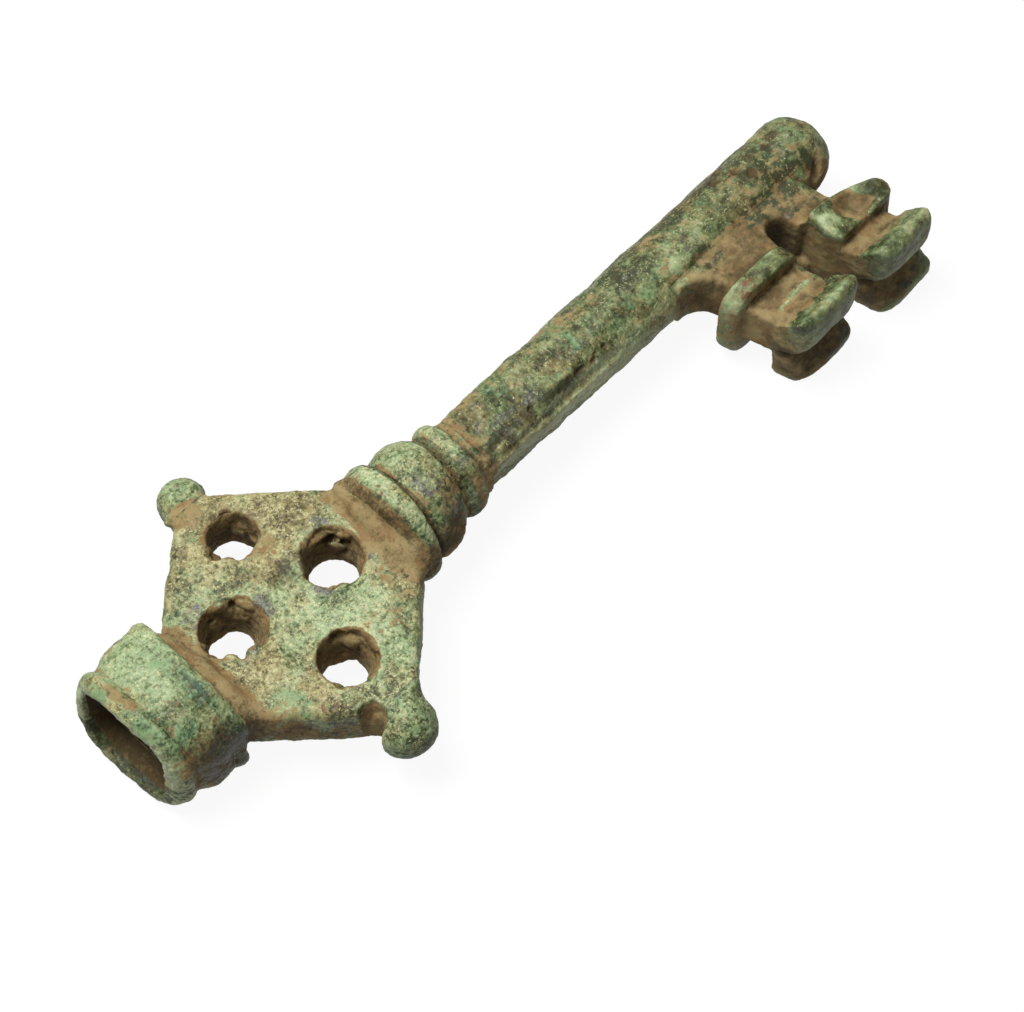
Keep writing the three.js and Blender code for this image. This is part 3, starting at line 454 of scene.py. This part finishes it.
class Shades:
    """Builds one skin's node tree: noises in mm on the piece's own coordinates, mixed in layers."""

    def __init__(self, name):
        self.material = bpy.data.materials.new(name)
        self.material.use_nodes = True
        self.nodes = self.material.node_tree.nodes
        self.links = self.material.node_tree.links
        self.shader = self.nodes["Principled BSDF"]
        self.place = self.nodes.new("ShaderNodeTexCoord").outputs["Object"]

    def noise(self, size, shift=0, detail=4, roughness=0.6, stretch=1):
        """Cloudy noise with lumps of about this many mm, drawn out along the key if stretched."""
        place = self.nodes.new("ShaderNodeMapping")
        place.inputs["Location"].default_value = (shift, shift * 0.7, shift * 1.3)
        place.inputs["Scale"].default_value = (1 / (size * stretch * MM), 1 / (size * MM), 1 / (size * MM))
        self.links.new(self.place, place.inputs["Vector"])
        cloud = self.nodes.new("ShaderNodeTexNoise")
        cloud.inputs["Scale"].default_value = 1
        cloud.inputs["Detail"].default_value = detail
        cloud.inputs["Roughness"].default_value = roughness
        self.links.new(place.outputs[0], cloud.inputs["Vector"])
        return cloud.outputs["Fac"]

    def value(self, name):
        """One of the numbers kept at each vertex."""
        kept = self.nodes.new("ShaderNodeAttribute")
        kept.attribute_name = name
        return kept.outputs["Fac"]

    def sum(self, start, *terms):
        """A plain number, moved by each source's weight times how far it is from its middle."""
        total = start - sum(weight * middle for _, weight, middle in terms)
        for source, weight, _ in terms:
            step = self.nodes.new("ShaderNodeMath")
            step.operation = "MULTIPLY_ADD"
            step.inputs[1].default_value = weight
            self.links.new(source, step.inputs[0])
            if isinstance(total, float):
                step.inputs[2].default_value = total
            else:
                self.links.new(total, step.inputs[2])
            total = step.outputs[0]
        return total

    def step(self, source, start, end):
        """0 below start, 1 above end, smooth between."""
        ramp = self.nodes.new("ShaderNodeMapRange")
        ramp.interpolation_type = "SMOOTHSTEP"
        ramp.inputs["From Min"].default_value = start
        ramp.inputs["From Max"].default_value = end
        self.links.new(source, ramp.inputs["Value"])
        return ramp.outputs["Result"]

    def line(self, source, width):
        """1 where the source crosses its middle of 0.5, and so in thin wandering lines."""
        off = self.nodes.new("ShaderNodeMath")
        off.operation = "COMPARE"
        off.inputs[1].default_value, off.inputs[2].default_value = 0.5, width
        self.links.new(source, off.inputs[0])
        return off.outputs[0]

    def layer(self, under, over, cover):
        """Lays one colour over another where cover says."""
        mix = self.nodes.new("ShaderNodeMix")
        mix.data_type = "RGBA"
        self.links.new(cover, mix.inputs["Factor"])
        for socket, source in ((mix.inputs["A"], under), (mix.inputs["B"], over)):
            if isinstance(source, tuple):
                socket.default_value = source
            else:
                self.links.new(source, socket)
        return mix.outputs["Result"]


def patina(name, light=0.5, warm=0.5, brown=0.3, worn=0.2, pits=0.5, fresh=0.3, crust=0.5, fine=1.0):
    """The skin of some elements: green and tan carbonate in grains, soil in the hollows and worn metal on the
    ridges, the metal flecked with painted highlight glints. Each share is from 0, none, to 1, nearly all;
    fine is the grain's strength."""
    skin = Shades(name)
    broad = skin.noise(5.0, shift=1, detail=2)
    patches = skin.noise(1.5, shift=5, detail=5, roughness=0.65)
    grains = skin.noise(0.60, shift=9, detail=4, roughness=0.75)
    specks = skin.noise(0.30, shift=14, detail=3, roughness=0.75)
    grit, hollow, ridge = skin.value("grit"), skin.value("hollow"), skin.value("ridge")
    # The mark for stains and painted shade, and for painted light where it is below 0.
    stain_and_shade_amount = skin.value("stain_and_shade")

    tone = skin.sum(light, (broad, 0.9, 0.5), (patches, 1.5, 0.5), (grains, 1.8 * fine, 0.5),
                    (specks, 1.2 * fine, 0.5), (grit, 0.35, 0.5), (stain_and_shade_amount, -0.6, 0.0))
    green = skin.layer(DARK_GREEN, MID_GREEN, skin.step(tone, 0.0, 0.35))
    green = skin.layer(green, PALE_GREEN, skin.step(tone, 0.30, 0.60))
    green = skin.layer(green, CHALK, skin.step(tone, 0.60, 1.00))
    tan = skin.layer(UMBER, OLIVE, skin.step(tone, 0.0, 0.35))
    tan = skin.layer(tan, TAN, skin.step(tone, 0.30, 0.65))
    tan = skin.layer(tan, CREAM, skin.step(tone, 0.60, 1.00))
    warmth = skin.sum(warm, (skin.noise(4.0, shift=41, detail=5, roughness=0.7), 2.6, 0.5),
                      (grains, 1.5, 0.5), (skin.value("warm"), 0.8, 0.0))
    body = skin.layer(green, tan, skin.step(warmth, 0.1, 0.9))

    lines = skin.noise(1.3, shift=51, detail=4, roughness=0.6)
    crusted = skin.sum(0.4 * crust - 0.35, (skin.line(lines, 0.012), 0.5, 0.0), (specks, 2.0, 0.5),
                       (stain_and_shade_amount, -0.4, 0.0))
    body = skin.layer(body, CRUST, skin.step(crusted, 0.15, 0.55))

    malachite = skin.sum(0.5 * fresh - 0.1, (skin.noise(2.2, shift=21, detail=6, roughness=0.75), 3.0, 0.5),
                         (grains, 1.6, 0.5), (skin.value("fresh"), 0.55, 0.0))
    leafy = skin.layer(DARK_MALACHITE, LIGHT_MALACHITE, skin.step(tone, 0.0, 0.55))
    body = skin.layer(body, leafy, skin.step(malachite, 0.30, 0.90))

    stain_and_shade = skin.sum(0.6 * pits - 0.3, (specks, 2.2 * fine, 0.5), (patches, 1.9, 0.5), (broad, 0.8, 0.5),
                    (grit, -0.7, 0.5), (hollow, 0.25, 0.0), (stain_and_shade_amount, 0.25, 0.0))
    body = skin.layer(body, PIT, skin.step(stain_and_shade, 0.25, 0.80))

    reddened = skin.sum(-0.25, (skin.noise(0.9, shift=61, detail=4), 2.6, 0.5), (grains, 1.0, 0.5),
                        (skin.value("rust"), 0.6, 0.0))
    body = skin.layer(body, RUST, skin.step(reddened, 0.10, 0.60))

    streaks = skin.noise(0.35, shift=33, detail=4, roughness=0.75, stretch=2.0)
    rubbed_and_glinting = skin.sum(0.4 * worn - 0.3, (ridge, 0.30, 0.0), (skin.noise(1.6, shift=35, detail=5), 2.4, 0.5),
                      (streaks, 1.6, 0.5), (grains, 1.2, 0.5), (skin.value("bare"), 0.65, 0.0))
    bare = skin.step(rubbed_and_glinting, 0.15, 0.60)
    # Worn metal in streaks, with painted highlight glints scattered over it as specks.
    metal_and_glints = skin.layer(WORN_DARK, WORN_METAL, skin.step(streaks, 0.42, 0.62))
    metal_and_glints = skin.layer(metal_and_glints, PAINTED_GLINT, skin.step(specks, 0.63, 0.69))
    body = skin.layer(body, metal_and_glints, bare)

    earth = skin.sum(0.6, (patches, 1.3, 0.5), (grains, 1.3 * fine, 0.5), (specks, 0.9 * fine, 0.5),
                     (hollow, -0.4, 0.0), (stain_and_shade_amount, -0.7, 0.0))
    earth_colour = skin.layer(DRY_SOIL, RED_SOIL, skin.step(skin.noise(2.2, shift=71), 0.44, 0.62))
    earth_colour = skin.layer(DEEP_SOIL, earth_colour, skin.step(earth, 0.0, 0.65))
    cover = skin.sum(0.5 * brown, (skin.value("soil"), 0.8, 0.0), (hollow, 0.8, 0.0), (patches, 1.6, 0.5),
                     (broad, 0.7, 0.5), (grains, 0.3 + 0.8 * fine, 0.5))
    covered = skin.step(cover, 0.34, 0.60)
    body = skin.layer(body, earth_colour, covered)

    skin.links.new(body, skin.shader.inputs["Base Color"])
    skin.links.new(skin.sum(0.58, (bare, -0.22, 0.0), (covered, 0.25, 0.0)), skin.shader.inputs["Roughness"])
    skin.shader.inputs["Specular IOR Level"].default_value = 0.4
    bump = skin.nodes.new("ShaderNodeBump")
    bump.inputs["Distance"].default_value = 0.10 * MM
    bump.inputs["Strength"].default_value = 0.7 * fine
    skin.links.new(skin.sum(0.5, (grains, 0.7, 0.5), (specks, 0.8, 0.5)), bump.inputs["Height"])
    skin.links.new(bump.outputs[0], skin.shader.inputs["Normal"])
    return skin.material


def finish_piece(piece, node, skin):
    """Shades the piece like the unbroken casting and puts it, in its skin, in its CAD node's place."""
    only(piece)
    bpy.ops.object.shade_smooth()
    like = piece.modifiers.new("unbroken", "DATA_TRANSFER")
    like.object, like.use_loop_data = casting, True
    like.data_types_loops, like.loop_mapping = {"CUSTOM_NORMAL"}, "POLYINTERP_NEAREST"
    bpy.ops.object.modifier_apply(modifier=like.name)
    piece.data.materials.clear()
    piece.data.materials.append(skin)
    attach(piece, "root")
    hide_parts(node)


FILLET = 0.4 * MM
BELOW, ABOVE = -2 * MM, 17 * MM

# Bit, two ward blocks
# Each is an upright flange, a thinner web and a fork of two lips, cast with the rest. Soil hides
# the webs and fills the channel of the fork; the flange's top and the fork's lips are cleaner.
bit_skin = patina("bit_skin", light=0.38, warm=0.40, brown=0.42, worn=0.1, pits=0.25, fresh=0.4, crust=0.2,
                  fine=0.2)
root_low, root_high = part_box("bit_web")
ROOT = ((root_low.x - FILLET, root_low.y - FILLET, root_low.z - FILLET),
        (root_high.x + FILLET, root_high.y, root_high.z + FILLET))
for middle in (79.5, 92.5):
    paint("soil", 0.9, (6.3, 6, 5), (middle, -12.0, -0.6))
    paint("soil", 0.5, (6.3, 1.4, 1.8), (middle, -15.2, 3.6))
    paint("soil", -0.7, (7, 1.0, 0.9), (middle, -17.0, 5.6))
    paint("soil", -0.9, (7, 1.2, 3.0), (middle, -19.6, 2.6))
    paint("stain_and_shade", -0.4, (7, 0.5, 0.6), (middle, -16.9, 5.6))
    paint("soil", 0.7, (7, 3.2, 2.6), (middle, -17.0, -4.6))
    # Painted shade: the groove between the fork's lips is darkened nearly to black.
    paint("stain_and_shade", 0.9, (7, 3.0, 1.4), (middle, -17.4, -1.4))
    paint("stain_and_shade", 0.35, (7, 3.0, 2.0), (middle, -18.4, -5.0))
paint("stain_and_shade", 0.25, (15, 12, 12), (86, -12, 0))
# Painted light: the front walls of both ward blocks are made lighter, as if lit, with soil over them.
paint("stain_and_shade", -0.5, (1.6, 6, 5), (88.4, -12.5, 0.6))
paint("stain_and_shade", -0.5, (1.4, 4, 4), (74.8, -10.6, 1.0))
paint("soil", 0.5, (2.0, 6, 4), (88.4, -12.5, -0.4))
paint("soil", -1.0, (1.6, 2.6, 1.0), (75.6, -9.6, 5.5), (77.4, -9.2, 5.5), (79.6, -8.9, 5.5), (82, -8.6, 5.5))
paint("rust", 1.0, 1.0, (76.8, -10.2, 5.2), (75.9, -10.8, 5.0))
for mark in ("soil", "stain_and_shade"):
    paint(mark, -0.6, (1.3, 0.5, 0.6), (82.2, -13.8, 3.0), (80.0, -13.9, 3.0), (78.4, -14.2, 3.0))
paint("soil", -1.0, (1.9, 1.7, 1.0), (90.0, -10.9, 5.2), (91.3, -12.6, 4.9))
paint("stain_and_shade", -0.4, (1.6, 1.4, 0.9), (89.9, -11.2, 5.3))
paint("soil", 0.9, (2.4, 1.3, 1.2), (93.4, -10.4, 4.2), (94.0, -12.0, 4.2))
paint("soil", -1.0, (1.3, 1.0, 1.0), (95.1, -13.5, 4.8), (97.3, -12.0, 5.0), (96.0, -10.4, 5.0))
paint("stain_and_shade", 0.4, 1.4, (97.3, -11.6, 4.6))
paint("rust", 0.7, 1.8, (78.4, -17.8, -5.2))
for ward in ("near", "far"):
    web_low, web_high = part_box(ward + "_ward_web")
    WEB = ((web_low.x - 1.2 * MM, web_low.y - FILLET, web_low.z - FILLET),
           (web_high.x + 1.2 * MM, web_high.y, web_high.z + FILLET))
    web = cut_out(ward + "_web", *WEB)
    finish_piece(web, ward + "_ward_web", bit_skin)
    fork_low, fork_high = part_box(ward + "_outer_fork")
    fork = cut_out(ward + "_fork", (fork_low.x - MM, fork_low.y - 2 * MM, BELOW),
                   (fork_high.x + MM, fork_high.y + FILLET, ABOVE), [WEB])
    finish_piece(fork, ward + "_outer_fork", bit_skin)
    flange_low, flange_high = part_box(ward + "_inner_flange")
    flange = cut_out(ward + "_flange", (flange_low.x - MM, flange_low.y - FILLET, BELOW),
                     (flange_high.x + MM, flange_high.y + FILLET, ABOVE), [WEB, ROOT])
    finish_piece(flange, ward + "_inner_flange", bit_skin)

# Bit, root web
# The slab that carries both ward blocks on the shank, cast with it and brown with soil all over.
paint("soil", 0.9, (13, 4.0, 5), (83, -6.4, 0))
paint("stain_and_shade", 0.3, (13, 4.0, 5), (83, -6.4, 0))
paint("stain_and_shade", 0.5, (1.8, 2.4, 4.0), (85.6, -8.4, -0.5))
root = cut_out("root_web", *ROOT)
finish_piece(root, "bit_web", bit_skin)

# Socket
# An open-mouthed box with round corners: a lip band, the drum behind it, and the closing bead.
# Dark soil lines the hollow, with painted shade over it; the rim is rubbed bare along its upper edge, its
# metal flecked with painted highlight glints.
WIDE = 30 * MM
socket_skin = patina("socket_skin", light=0.53, warm=0.36, brown=0.22, worn=0.15, pits=0.5, fresh=0.55,
                     fine=0.8)
mouth_seam, floor_seam = low("socket_drum").x, low("socket_rear_bead").x
plate_seam = high("socket_rear_bead").x
from_middle = (points - on_key(-5.5, 1.6, 0.2)) / MM
inside = (from_middle * normals).sum(1) < -0.5
lined = inside & (from_middle[:, 0] > -3.8) & (from_middle[:, 0] < 5)
# Inside the hollow: soil, darkened nearly to black with painted shade.
marks["soil"][lined] = 1.0
marks["stain_and_shade"][lined] = 1.0
rim = (from_middle[:, 0] < -3.0) & (normals[:, 0] < -0.75)
marks["bare"][rim] = 0.3
marks["stain_and_shade"][rim] = -0.25
low_lip = (from_middle[:, 0] < -2.5) & (from_middle[:, 2] < -1.0) & (normals[:, 2] > 0.05)
marks["stain_and_shade"][low_lip] = 0.8
marks["bare"][low_lip] = 0
paint("soil", 0.6, (0.7, 1.5, 0.8), (-8.0, 4.2, 7.2), (-7.8, 1.8, 7.2))
paint("warm", 0.6, (1.8, 3.0, 1.5), (-7.6, 3.6, 7.0), (-9.4, 5.5, 6.0))
paint("warm", -0.3, (3, 4, 1.6), (-4.4, 4.0, 7.2), (-4.2, 0.0, 7.2), (-5.0, 6.0, 6.8))
paint("stain_and_shade", 0.35, (2.5, 2.2, 1.8), (-7.9, -1.8, 7.0), (-7.0, -4.5, 5.4), (-3.2, -2.8, 7.0))
paint("fresh", 0.8, (2.5, 1.8, 1.8), (-8.3, -1.4, 7.0), (-7.2, -3.6, 6.0), (-9.0, 5.5, 6.4))
paint("bare", 0.35, (0.7, 1.8, 1.2), (-9.9, -4, 6.4), (-10.0, -1, 6.6), (-10.1, 2, 6.6), (-10.2, 5, 6.4))
# Painted shade and browner patina on the drum's lower side, towards the bit.
paint("stain_and_shade", 0.7, (4, 3.0, 6), (-4.5, -7.5, 0.5), (-1.5, -7.0, 0))
paint("warm", 0.5, (4, 3.0, 6), (-4.5, -7.5, 0.5))
paint("soil", 0.35, (2.5, 1.5, 3), (-5.5, -7.4, -2), (-1.2, -7.5, -3), (-7.0, -6.2, 3.5))
paint("fresh", 0.7, (1.2, 3.0, 1.6), (-1.7, -2.6, 6.9), (-2.0, 0.5, 7.2), (-2.2, 3.5, 7.0))
paint("stain_and_shade", 0.3, (0.9, 3.5, 1.6), (-1.2, -3.0, 6.7), (-1.4, 0.5, 7.0))
paint("rust", 0.7, (0.9, 1.1, 0.9), (-4.8, -1.2, 7.3), (-6.4, -3.4, 6.7))
band = cut_out("mouth_band", (-WIDE * 2, -WIDE, BELOW), (mouth_seam, WIDE, ABOVE))
finish_piece(band, "socket_mouth_band", socket_skin)
drum = cut_out("drum", (mouth_seam, -WIDE, BELOW), (floor_seam, WIDE, ABOVE))
finish_piece(drum, "socket_drum", socket_skin)
paint("soil", 0.8, (0.8, 9, 8), (0.3, 0, 0))
bead = cut_out("rear_bead", (floor_seam, -WIDE, BELOW), (plate_seam, WIDE, ABOVE))
finish_piece(bead, "socket_rear_bead", socket_skin)

# Bow plate and its side knobs
# A thick pierced slab between the socket and the collar, with a round knob on either corner.
# Soil lies in slopes at both ends, in the holes and in the notch beside the right knob.
plate_skin = patina("plate_skin", light=0.49, warm=0.50, brown=0.2, worn=0.12, pits=0.55, crust=0.6)
knob_skin = patina("knob_skin", light=0.38, warm=0.2, brown=0.25, worn=0.15, pits=0.5, fresh=0.6)
paint("soil", 1.0, (2.7, 3.2, 3.4), (0.3, 5.2, 3.6), (0.4, 1.0, 3.6), (0.3, -3.2, 3.6), (0.2, -6.4, 2))
paint("soil", 1.0, (1.8, 3.2, 3.4), (26.6, 4.6, 3.4), (26.5, 0.8, 3.4))
paint("soil", 1.0, (2.6, 3.0, 3.4), (26.5, -3.0, 3.4), (26.4, -6.6, 2.0))
paint("soil", 0.4, (2.6, 1.2, 1.4), (21.6, -9.0, 3.2), (24.6, 6.6, 3.2), (23.4, -5.4, 3.2))
for along, aside, radius in HOLES:
    outwards = ((points - on_key(along, aside)) / MM)[:, :2]
    distance = np.linalg.norm(outwards, axis=1)
    wall = np.clip(-2.2 * (outwards * normals[:, :2]).sum(1) / np.maximum(distance, 0.1) - 0.4, 0, 1)
    wall[distance > radius + 0.9] = 0
    marks["soil"] += 0.8 * wall
    marks["stain_and_shade"] += 0.15 * wall
    paint("bare", 0.3, (radius * 1.3, radius * 1.3, 1.0), (along, aside, 3.4))
paint("warm", 0.5, (4, 4, 2), (12.6, 12.0, 3.2), (17.0, 13.0, 3.2), (20.5, 8.5, 3.2), (15.0, 6.0, 3.2))
paint("warm", -0.3, (4, 4, 2), (11.0, 2.0, 3.2), (15.0, -2.0, 3.2), (18.5, -5.5, 3.2), (16.0, -12.0, 3.2))
paint("warm", 0.5, (3, 3, 3), (5.4, -4.0, 3.2), (25.0, -7.5, 3.2), (9.5, -11.0, 3.2))
paint("stain_and_shade", -0.12, (4, 3, 2), (11.8, 3.2, 3.2), (14.0, -3.5, 3.2), (17.5, -6.5, 3.2))
paint("soil", 0.3, 1.9, (12.6, 12.4, 3.2), (15.8, 7.0, 3.2), (17.0, 14.5, 3.2), (13.0, 15.4, 3.2))
paint("soil", 0.6, (2.4, 1.4, 1.4), (12.6, 16.2, 2.9))
# Painted shade, with soil, along the plate's lower side towards the bit.
paint("stain_and_shade", 0.25, (4, 3, 2.6), (4.6, -11.4, -1.4), (8.6, -14.4, -1.4), (12.0, -16.0, -1.4))
paint("soil", 0.45, (3.5, 3.5, 2.6), (4.2, -10.6, -1.2), (8.2, -14.3, -1.2), (3.0, -9.0, 1.0))
paint("soil", 0.9, (1.6, 1.8, 3.6), (10.9, -15.6, 0.0))
paint("stain_and_shade", -0.5, (1.6, 1.8, 3.6), (10.9, -15.6, 0.0))
# Painted shade in the torn hole's groove under its block of crust; the block above gets soil.
for along, aside in TORN:
    paint("stain_and_shade", 0.25, (0.7, 0.7, 0.5), (along, aside, 1.0))
    paint("soil", 0.8, (1.0, 1.0, 0.9), (along, aside, 2.4))
# Painted shade in the upright cleft.
paint("stain_and_shade", 0.8, (0.7, 0.7, 1.6), (9.3, 4.8, 1.2))
paint("stain_and_shade", 0.4, 1.7, (12.0, 5.1, 3.2), (14.7, 3.2, 3.2), (17.8, -3.4, 3.2), (16.6, 2.6, 3.2))
paint("stain_and_shade", 0.15, (3, 4, 2), (3.0, 8.4, 3.2), (6.0, 11.0, 3.2))
# More painted shade along the plate's side towards the bit.
paint("stain_and_shade", 0.3, (2.6, 1.4, 2.4), (8.0, -13.6, 2.4), (4.6, -10.6, 2.0), (20.5, -10.6, 1.0), (23, -8.6, 1.0))
paint("bare", 0.6, 1.6, (5.1, 6.0, 3.2), (21.4, 4.4, 3.2), (11.2, 1.8, 3.2), (10.3, 0.2, 3.2))
paint("bare", 0.6, 1.4, (17.0, -1.6, 3.2))
paint("bare", 0.4, 1.2, (23.9, -2.6, 3.2), (22.8, 3.4, 3.2), (6.6, 6.6, 3.2))
paint("fresh", 0.9, 1.7, (4.4, -7.6, 3.3), (5.4, -9.6, 3.0))
paint("rust", 0.7, 1.1, (7.6, -11.8, 3.3), (8.7, -7.3, 3.3), (25.0, 4.6, 3.3), (19.6, -10.4, 3.2))
plate_end = high("bow_plate").x
left_seam, right_seam = low("left_knob").y, high("right_knob").y
plate = cut_out("pierced_plate", (plate_seam, right_seam, BELOW), (plate_end, left_seam, ABOVE))
finish_piece(plate, "bow_plate", plate_skin)
paint("soil", 0.4, (3.5, 0.9, 4), (14.6, 16.3, 0))
left = cut_out("left_side_knob", (plate_seam, left_seam, BELOW), (plate_end, WIDE, ABOVE))
finish_piece(left, "left_knob", knob_skin)
# Darker patina and painted shade on the right knob's lower outer side.
paint("stain_and_shade", 0.45, (4, 4, 3.4), (12.0, -20.4, -2.4))
right_lump = cut_out("right_side_knob", (plate_seam, -WIDE, BELOW), (plate_end, right_seam, ABOVE))
finish_piece(right_lump, "right_knob", knob_skin)

# Collars and knop
# Three turned swellings cast on the shank's foot. Soil fills the grooves between them and lies on the lower
# collar's tall rear wall, with painted shade over it; the knop's top is rubbed bare and flecked with painted
# highlight glints.
collar_skin = patina("collar_skin", light=0.50, warm=0.32, brown=0.28, worn=0.18, pits=0.5, fresh=0.45)
paint("soil", 1.0, (1.2, 9, 6), (26.8, 0, 3.2))
# Painted shade on the lower collar's tall rear wall and in the soil at its foot.
paint("stain_and_shade", 0.35, (0.9, 9, 3), (27.3, 0, 6.0))
paint("stain_and_shade", 0.22, (3, 9, 4), (26.8, 0, 3.4))
paint("stain_and_shade", -0.2, (1.2, 5, 2), (28.9, 1.0, 7.0))
# Darker patina and painted shade on the collar's lower side towards the bit.
paint("stain_and_shade", 0.4, (4, 3, 4), (28.5, -8, 0))
paint("soil", 0.4, (4, 2.5, 4), (28.5, -8, -1))
paint("rust", 0.8, 0.9, (28.3, 0.8, 7.3))
collar = cut_out("low_collar", (low("lower_collar").x, -WIDE, BELOW), (high("lower_collar").x, WIDE, ABOVE))
finish_piece(collar, "lower_collar", collar_skin)
# The knop's rubbed top: worn metal flecked with painted highlight glints.
paint("bare", 1.0, (1.8, 1.8, 1.4), (32.7, -1.9, 6.8))
paint("warm", 0.5, (3, 4, 4), (34, -5.4, 4))
paint("soil", 0.3, (1.8, 2.4, 2.0), (34.0, -5.6, 4.6), (31.2, 0.6, 6.6))
paint("bare", 0.4, (2.5, 3.5, 2.5), (33.4, -4.4, 5.3))
# Painted shade and darker patina on the knop's lower side towards the bit.
paint("stain_and_shade", 0.5, (3.5, 2.6, 3.0), (33.6, -5.0, 4.8), (33.0, -7.0, 1.5))
paint("soil", 0.55, (3.5, 3.0, 4.0), (32.0, -7.4, -0.5))
paint("soil", 0.55, (1.3, 2.0, 1.2), (30.5, 4.2, 5.6), (30.5, -3.2, 6.0), (35.6, -3.2, 5.0))
ball = cut_out("round_knop", (low("knop").x, -WIDE, BELOW), (high("knop").x, WIDE, ABOVE))
finish_piece(ball, "knop", collar_skin)
paint("soil", 0.6, (1.3, 7, 7), (36.8, 0, 0), (40.4, 0, 0))
paint("soil", 0.45, (1.6, 3, 7), (38.5, -5.5, 0))
paint("bare", 0.6, (1.3, 1.3, 1.0), (38.7, -2.2, 5.3))
paint("stain_and_shade", 0.5, (2.5, 2.4, 2.0), (38.9, -3.4, 4.4))
collar = cut_out("high_collar", (low("upper_collar").x, -WIDE, BELOW), (high("upper_collar").x, WIDE, ABOVE))
finish_piece(collar, "upper_collar", collar_skin)

# Shank and its domed end
# Squared by the hammer near the collar and round by the bit, with a rubbed streak along its back
# and pits along the worn edge. Soil thickens towards the bit.
shank_skin = patina("shank_skin", light=0.26, warm=0.48, brown=0.34, worn=0.22, pits=0.5, fresh=0.5,
                    crust=0.2, fine=0.42)
SHANK_SIDE = high("bit_web").y - 2.5 * MM
for along in range(42, 80, 5):
    paint("soil", 0.2, (3.0, 1.8, 1.4), (along, 2.6, 4.1))
    paint("rust", 0.35, (2.4, 1.6, 1.2), (along + 2, 2.0, 4.3))
paint("bare", 0.6, (2.4, 1.0, 0.8), (43.6, -0.9, 4.4), (47.0, -1.7, 4.4), (50.6, -1.9, 4.4))
paint("bare", 0.5, (2.4, 1.0, 0.8), (59.0, -1.1, 4.6))
paint("bare", 0.2, (9, 1.5, 2.0), (48, -4.2, 0.5), (60, -4.2, 0.5))
# Painted light: the shank's side towards the bit is made lighter.
paint("stain_and_shade", -0.5, (12, 1.4, 3.0), (50, -4.6, 1.0), (64, -4.6, 1.0))
paint("stain_and_shade", 0.12, (1.4, 0.7, 0.8), *WORN_EDGE)
paint("stain_and_shade", 0.12, (6, 5, 3), (92, 0, 3.6))
paint("stain_and_shade", -0.1, (8, 5, 3), (80, 0, 3.6))
paint("stain_and_shade", 0.7, (1.1, 0.6, 0.6), (43.1, -2.6, 4.0), (50.6, -3.1, 3.8), (53.6, -3.2, 3.7))
paint("stain_and_shade", 0.6, 0.9, *TIP_PITS)
paint("soil", 0.4, 0.7, *TIP_PITS)
paint("stain_and_shade", 0.15, (4, 3, 3), (77, 2.4, 3.6), (84, 2.4, 3.6))
paint("soil", 0.5, (6, 1.6, 2.4), (79, -4.0, 3.2), (87, -4.2, 3.2))
paint("soil", 0.15, (5, 3, 3), (88.0, 0.0, 4.6), (93.5, -2.0, 4.6))
paint("bare", 0.5, (1.6, 0.7, 0.8), (76.6, -1.7, 4.6), (79.0, -2.8, 4.0))
paint("fresh", 0.7, (2.4, 1.8, 1.2), (57.7, -0.4, 4.7), (47.0, 1.6, 4.7), (68.1, -1.4, 4.6), (64, -2.6, 4.0))
paint("stain_and_shade", 0.6, (1.6, 0.6, 0.9), (75.2, -3.8, 3.6), (73.0, -3.6, 3.4), (76.5, -3.0, 4.2))
paint("soil", 0.6, (3.5, 2.0, 4), (94.5, -4.6, 1.5))
paint("stain_and_shade", 0.5, (0.8, 2.5, 2), (95.4, -3.4, 3.6))
paint("fresh", 0.6, (2.8, 2.0, 1.2), (93.8, 1.6, 4.8), (97.0, 2.0, 3.6))
rod = cut_out("key_shank", (low("shank").x, SHANK_SIDE, BELOW), (high("shank").x, WIDE, ABOVE), [ROOT])
finish_piece(rod, "shank", shank_skin)
dome = cut_out("domed_tip", (high("shank").x, SHANK_SIDE, BELOW), (WIDE * 2, WIDE, ABOVE), [ROOT])
finish_piece(dome, "shank_tip", shank_skin)
bpy.data.objects.remove(casting)
